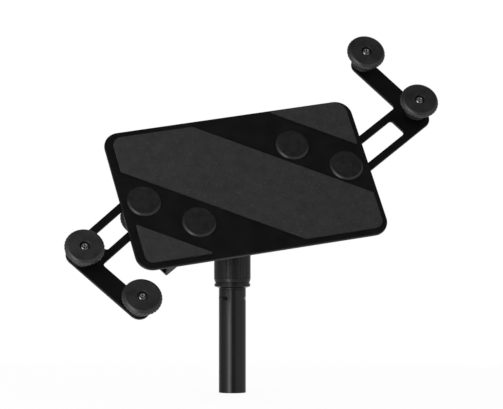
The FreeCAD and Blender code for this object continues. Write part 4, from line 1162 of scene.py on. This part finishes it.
class HOLDER_OT_rollers(bpy.types.Operator):
    """Four notched rollers with ribbed hubs, and the screws, spacers and nuts that hold them"""
    bl_idname = "holder.rollers"
    bl_label = "Rollers"

    def execute(self, context):
        sizes = in_mm(context.scene.holder_sizes)
        rule, angles = notched(sizes)
        foot = 4.9
        # The screw, its head and the heights of the head's seat and top over the arm
        radius, head, seat, top = 2, 3.8, 19.5, 22.1
        for side, reach in REACH.items():
            pair = ("row", {"First place": (reach, 0, ARM_FRONT), "Step": (0, ROLLER_SPACING, 0)})
            body, place = "arm_" + side, ARM[side]
            made("roller_spacers_%s_turned" % side, ring(radius, 5.5, 0, 4.8), place, body,
                 ["roller_spacers_" + side], "black_satin_plastic", [pair])
            screw = turned([
                (0, -7), (radius - 0.4, -7), (radius, -6.6), (radius, -2), (radius, seat),
                (head, seat, 0.15), (head, 21.3, 0.8), (2.7, top, 0.5), (2.0, top, 0.15), (1.732, 21.8),
                (1.732, 19.9), (0, 19)], 96, fine=[(-6.6, -2, 0.12)])
            socket = ("flats", {"Flat distance": 1.5, "Foot": seat, "To radius": 1.95})
            thread = ("thread", {
                "Pitch": 0.7, "Depth": 0.35, "Foot": -8, "Top": -2, "Run-out": 0.3,
                "From radius": 1.7})
            made("roller_screws_%s_socketed" % side, screw, place, body, ["roller_screws_" + side],
                 "zinc_steel", [socket, thread, pair], finish=bright_nickel)
            nut, flats = hexagon_nut(radius, 7, -6, -2)
            made("roller_nuts_%s_milled" % side, nut, place, body, ["roller_nuts_" + side], "zinc_steel",
                 [flats, pair])
            carry_over("zinc_steel", "roller_bushes_" + side)
            for end, along in (("side", 0), ("end", ROLLER_SPACING)):
                name = "%s_%s" % (side, end)
                stand = place @ at(reach, along, ARM_FRONT)
                cap = turned(rim_outline(sizes) + [
                    (12.2, 22.9, 4), (4.3, 22.95, 0.4), (4.3, 19.4), (ROLLER_BORE, 19.4),
                    (ROLLER_BORE, CAP_FOOT)], angles, steps=5)
                made("roller_%s_cap" % name, cap, stand, "roller_" + name, ["roller_cap_" + name],
                     "black_satin_plastic", [rule])
                hub = turned(hub_outline(foot) + [(ROLLER_BORE, CAP_FOOT), (ROLLER_BORE, foot)], 96)
                made("roller_%s_hub" % name, hub, stand, "roller_" + name, ["roller_hub_" + name],
                     "black_rubber")
        return {"FINISHED"}


class HOLDER_OT_stage(bpy.types.Operator):
    """Pale floor, soft studio light and the camera"""
    bl_idname = "holder.stage"
    bl_label = "Stage"

    def execute(self, context):
        scene = context.scene
        scene.view_settings.view_transform = "Standard"
        # Far off with a long lens, level, and a little to the left of the holder's front
        camera = bpy.data.objects.new("camera", bpy.data.cameras.new("camera"))
        camera.data.lens = 210.9
        camera.data.sensor_width = 36
        camera.location = (-0.4599, -2.4990, 0.1621)
        camera.rotation_euler = (pi / 2, 0, radians(CAMERA_TURN))
        scene.collection.objects.link(camera)
        scene.camera = camera
        world_light(scene)
        middle = (0, -0.06, 0.17)
        # A softbox low on the left, whose reflection lights the bevels, and one behind for the top edges.
        for name, azimuth, height, distance, width, tall, watts in (
                ("left_softbox", -138, 0.16, 0.85, 0.7, 0.8, 6.0),
                ("rear_softbox", 75, 1.5, 1.1, 1.2, 0.8, 9.0)):
            lamp = bpy.data.lights.new(name, "AREA")
            lamp.shape = "RECTANGLE"
            lamp.size, lamp.size_y, lamp.energy = width, tall, watts
            holder = bpy.data.objects.new(name, lamp)
            way = radians(azimuth)
            holder.location = (distance * cos(way), distance * sin(way) + middle[1], height)
            aim = Vector(middle) - holder.location
            holder.rotation_euler = aim.to_track_quat("-Z", "Y").to_euler()
            holder.visible_glossy = False
            scene.collection.objects.link(holder)
        floor = flat_piece(circle(620, 0, 0, 128), -4, 0, 1)
        floor.shade_smooth()
        ground = bpy.data.objects.new("studio_floor", floor)
        scene.collection.objects.link(ground)
        floor.materials.append(floor_paper())
        ground.visible_glossy = False
        return {"FINISHED"}


def floor_paper():
    """Matt white studio paper. The camera sees it near white, and it keeps the shadow."""
    material = bpy.data.materials.new("studio_paper")
    tree = cleared(material)
    place = add(tree, "ShaderNodeTexCoord").outputs["Object"]
    fibre = add(tree, "ShaderNodeTexNoise", {"Vector": place, "Scale": 1 / (1.5 * MM), "Detail": 3.0})
    tone = add(tree, "ShaderNodeMix", {
        0: fibre, 6: linear("#f4f4f2"), 7: linear("#fbfbfa")}, data_type="RGBA").outputs[2]
    paper = add(tree, "ShaderNodeBsdfDiffuse", {"Color": tone})
    path = add(tree, "ShaderNodeLightPath").outputs
    seen = add(tree, "ShaderNodeMath", [path["Is Camera Ray"], path["Is Transmission Ray"]],
               operation="MAXIMUM")
    share = add(tree, "ShaderNodeMath", [seen, 0.92], operation="MULTIPLY")
    white = add(tree, "ShaderNodeEmission", {"Color": (1, 1, 1, 1), "Strength": 1.0})
    lit = add(tree, "ShaderNodeMixShader", [share, paper, white])
    away = add(tree, "ShaderNodeVectorMath", [place], operation="LENGTH").outputs["Value"]
    fade = add(tree, "ShaderNodeMapRange", {
        "Value": away, "From Min": 0.36, "From Max": 0.61}, interpolation_type="SMOOTHSTEP")
    clear = add(tree, "ShaderNodeBsdfTransparent")
    mixed = add(tree, "ShaderNodeMixShader", [fade, lit, clear])
    add(tree, "ShaderNodeOutputMaterial", {"Surface": mixed})
    return material


def world_light(scene):
    """Even light all round.

    Mirrors see a studio: white paper behind, a softbox low on the left, a dark ceiling."""
    scene.world = bpy.data.worlds.new("studio")
    tree = cleared(scene.world)
    way = add(tree, "ShaderNodeTexCoord").outputs["Generated"]
    # Levels by the angle around the room in degrees. The lightest stretch is the softbox.
    turned_room = (0, 0, radians(90 - CAMERA_TURN))
    facing = add(tree, "ShaderNodeMapping", {"Vector": way, "Rotation": turned_room})
    around = add(tree, "ShaderNodeTexGradient", {"Vector": facing}, gradient_type="RADIAL")
    walls = add(tree, "ShaderNodeValToRGB", {"Fac": around.outputs["Fac"]})
    level(walls, {
        -180: 1.0, -156: 1.0, -146: 0.38, -95: 0.3, -62: 0.5, -50: 0.8, -41: 1.2, -35: 2.0, -30: 3.0,
        -20: 3.0, -14: 1.6, -9: 0.9, -3: 0.35, 5: 0.2, 15: 0.22, 32: 0.5, 50: 0.62, 95: 0.5, 130: 0.4,
        146: 0.42, 157: 1.0, 180: 1.0}, -180, 180)
    rise = add(tree, "ShaderNodeSeparateXYZ", [way]).outputs[2]
    up = add(tree, "ShaderNodeMapRange", {"Value": rise, "From Min": -1.0, "From Max": 1.0})
    ceiling = add(tree, "ShaderNodeValToRGB", {"Fac": up})
    level(ceiling, {-1: 1.0, 0.3: 1.0, 0.6: 0.3, 0.8: 0.1, 1: 0.1}, -1, 1)
    studio = add(tree, "ShaderNodeMix", {0: 1.0, 6: walls, 7: ceiling}, data_type="RGBA",
                 blend_type="MULTIPLY").outputs[2]
    paper = add(tree, "ShaderNodeValToRGB", {"Fac": up})
    level(paper, {-1: 0.9, -0.8: 0.84, -0.65: 0.56, -0.3: 0.5, -0.12: 0, 1: 0}, -1, 1)
    studio = add(tree, "ShaderNodeMix", {0: 1.0, 6: studio, 7: paper}, data_type="RGBA",
                 blend_type="LIGHTEN").outputs[2]
    path = add(tree, "ShaderNodeLightPath").outputs
    seen = add(tree, "ShaderNodeMix", {
        0: path["Is Glossy Ray"], 6: (1, 1, 1, 1), 7: studio}, data_type="RGBA").outputs[2]
    background = add(tree, "ShaderNodeBackground", {"Color": seen, "Strength": 1.0})
    even = add(tree, "ShaderNodeBackground", {"Color": linear("#cacaca"), "Strength": 1.0})
    direct = path["Is Camera Ray"]
    for ray in ("Is Glossy Ray", "Is Transmission Ray"):
        direct = add(tree, "ShaderNodeMath", [direct, path[ray]], operation="MAXIMUM")
    light = add(tree, "ShaderNodeMixShader", [direct, even, background])
    add(tree, "ShaderNodeOutputWorld", {"Surface": light})


def level(ramp, stops, low, high):
    """Sets a colour ramp's grey levels from a table of place and level."""
    elements = ramp.color_ramp.elements
    while len(elements) < len(stops):
        elements.new(0.5)
    for element, (place, value) in zip(elements, sorted(stops.items())):
        element.position = (place - low) / (high - low)
        element.color = (value, value, value, 1)


class HOLDER_PT_panel(bpy.types.Panel):
    """Lists the holder's pieces and their sizes"""
    bl_label = "Tablet holder"
    bl_idname = "HOLDER_PT_panel"
    bl_space_type = "VIEW_3D"
    bl_region_type = "UI"
    bl_category = "Tablet holder"

    def draw(self, context):
        for group in (context.scene.holder_sizes, context.scene.holder_colours):
            box = self.layout.box()
            for name in group.__annotations__:
                box.prop(group, name)
        for operator in OPERATORS:
            self.layout.operator(operator.bl_idname)


OPERATORS = (
    HOLDER_OT_upright_tube, HOLDER_OT_clutch, HOLDER_OT_inner_tube, HOLDER_OT_head, HOLDER_OT_back_plate,
    HOLDER_OT_foam_pads, HOLDER_OT_spine, HOLDER_OT_clamps, HOLDER_OT_arms, HOLDER_OT_rollers,
    HOLDER_OT_stage)
CLASSES = (HolderSizes, HolderColours, *OPERATORS, HOLDER_PT_panel)


def register():
    for item in CLASSES:
        bpy.utils.register_class(item)
    bpy.types.Scene.holder_sizes = bpy.props.PointerProperty(type=HolderSizes)
    bpy.types.Scene.holder_colours = bpy.props.PointerProperty(type=HolderColours)


def unregister():
    del bpy.types.Scene.holder_sizes
    del bpy.types.Scene.holder_colours
    for item in reversed(CLASSES):
        bpy.utils.unregister_class(item)


def main():
    register()
    for operator in OPERATORS:
        space, name = operator.bl_idname.split(".")
        getattr(getattr(bpy.ops, space), name)()


if __name__ == "__main__":
    main()
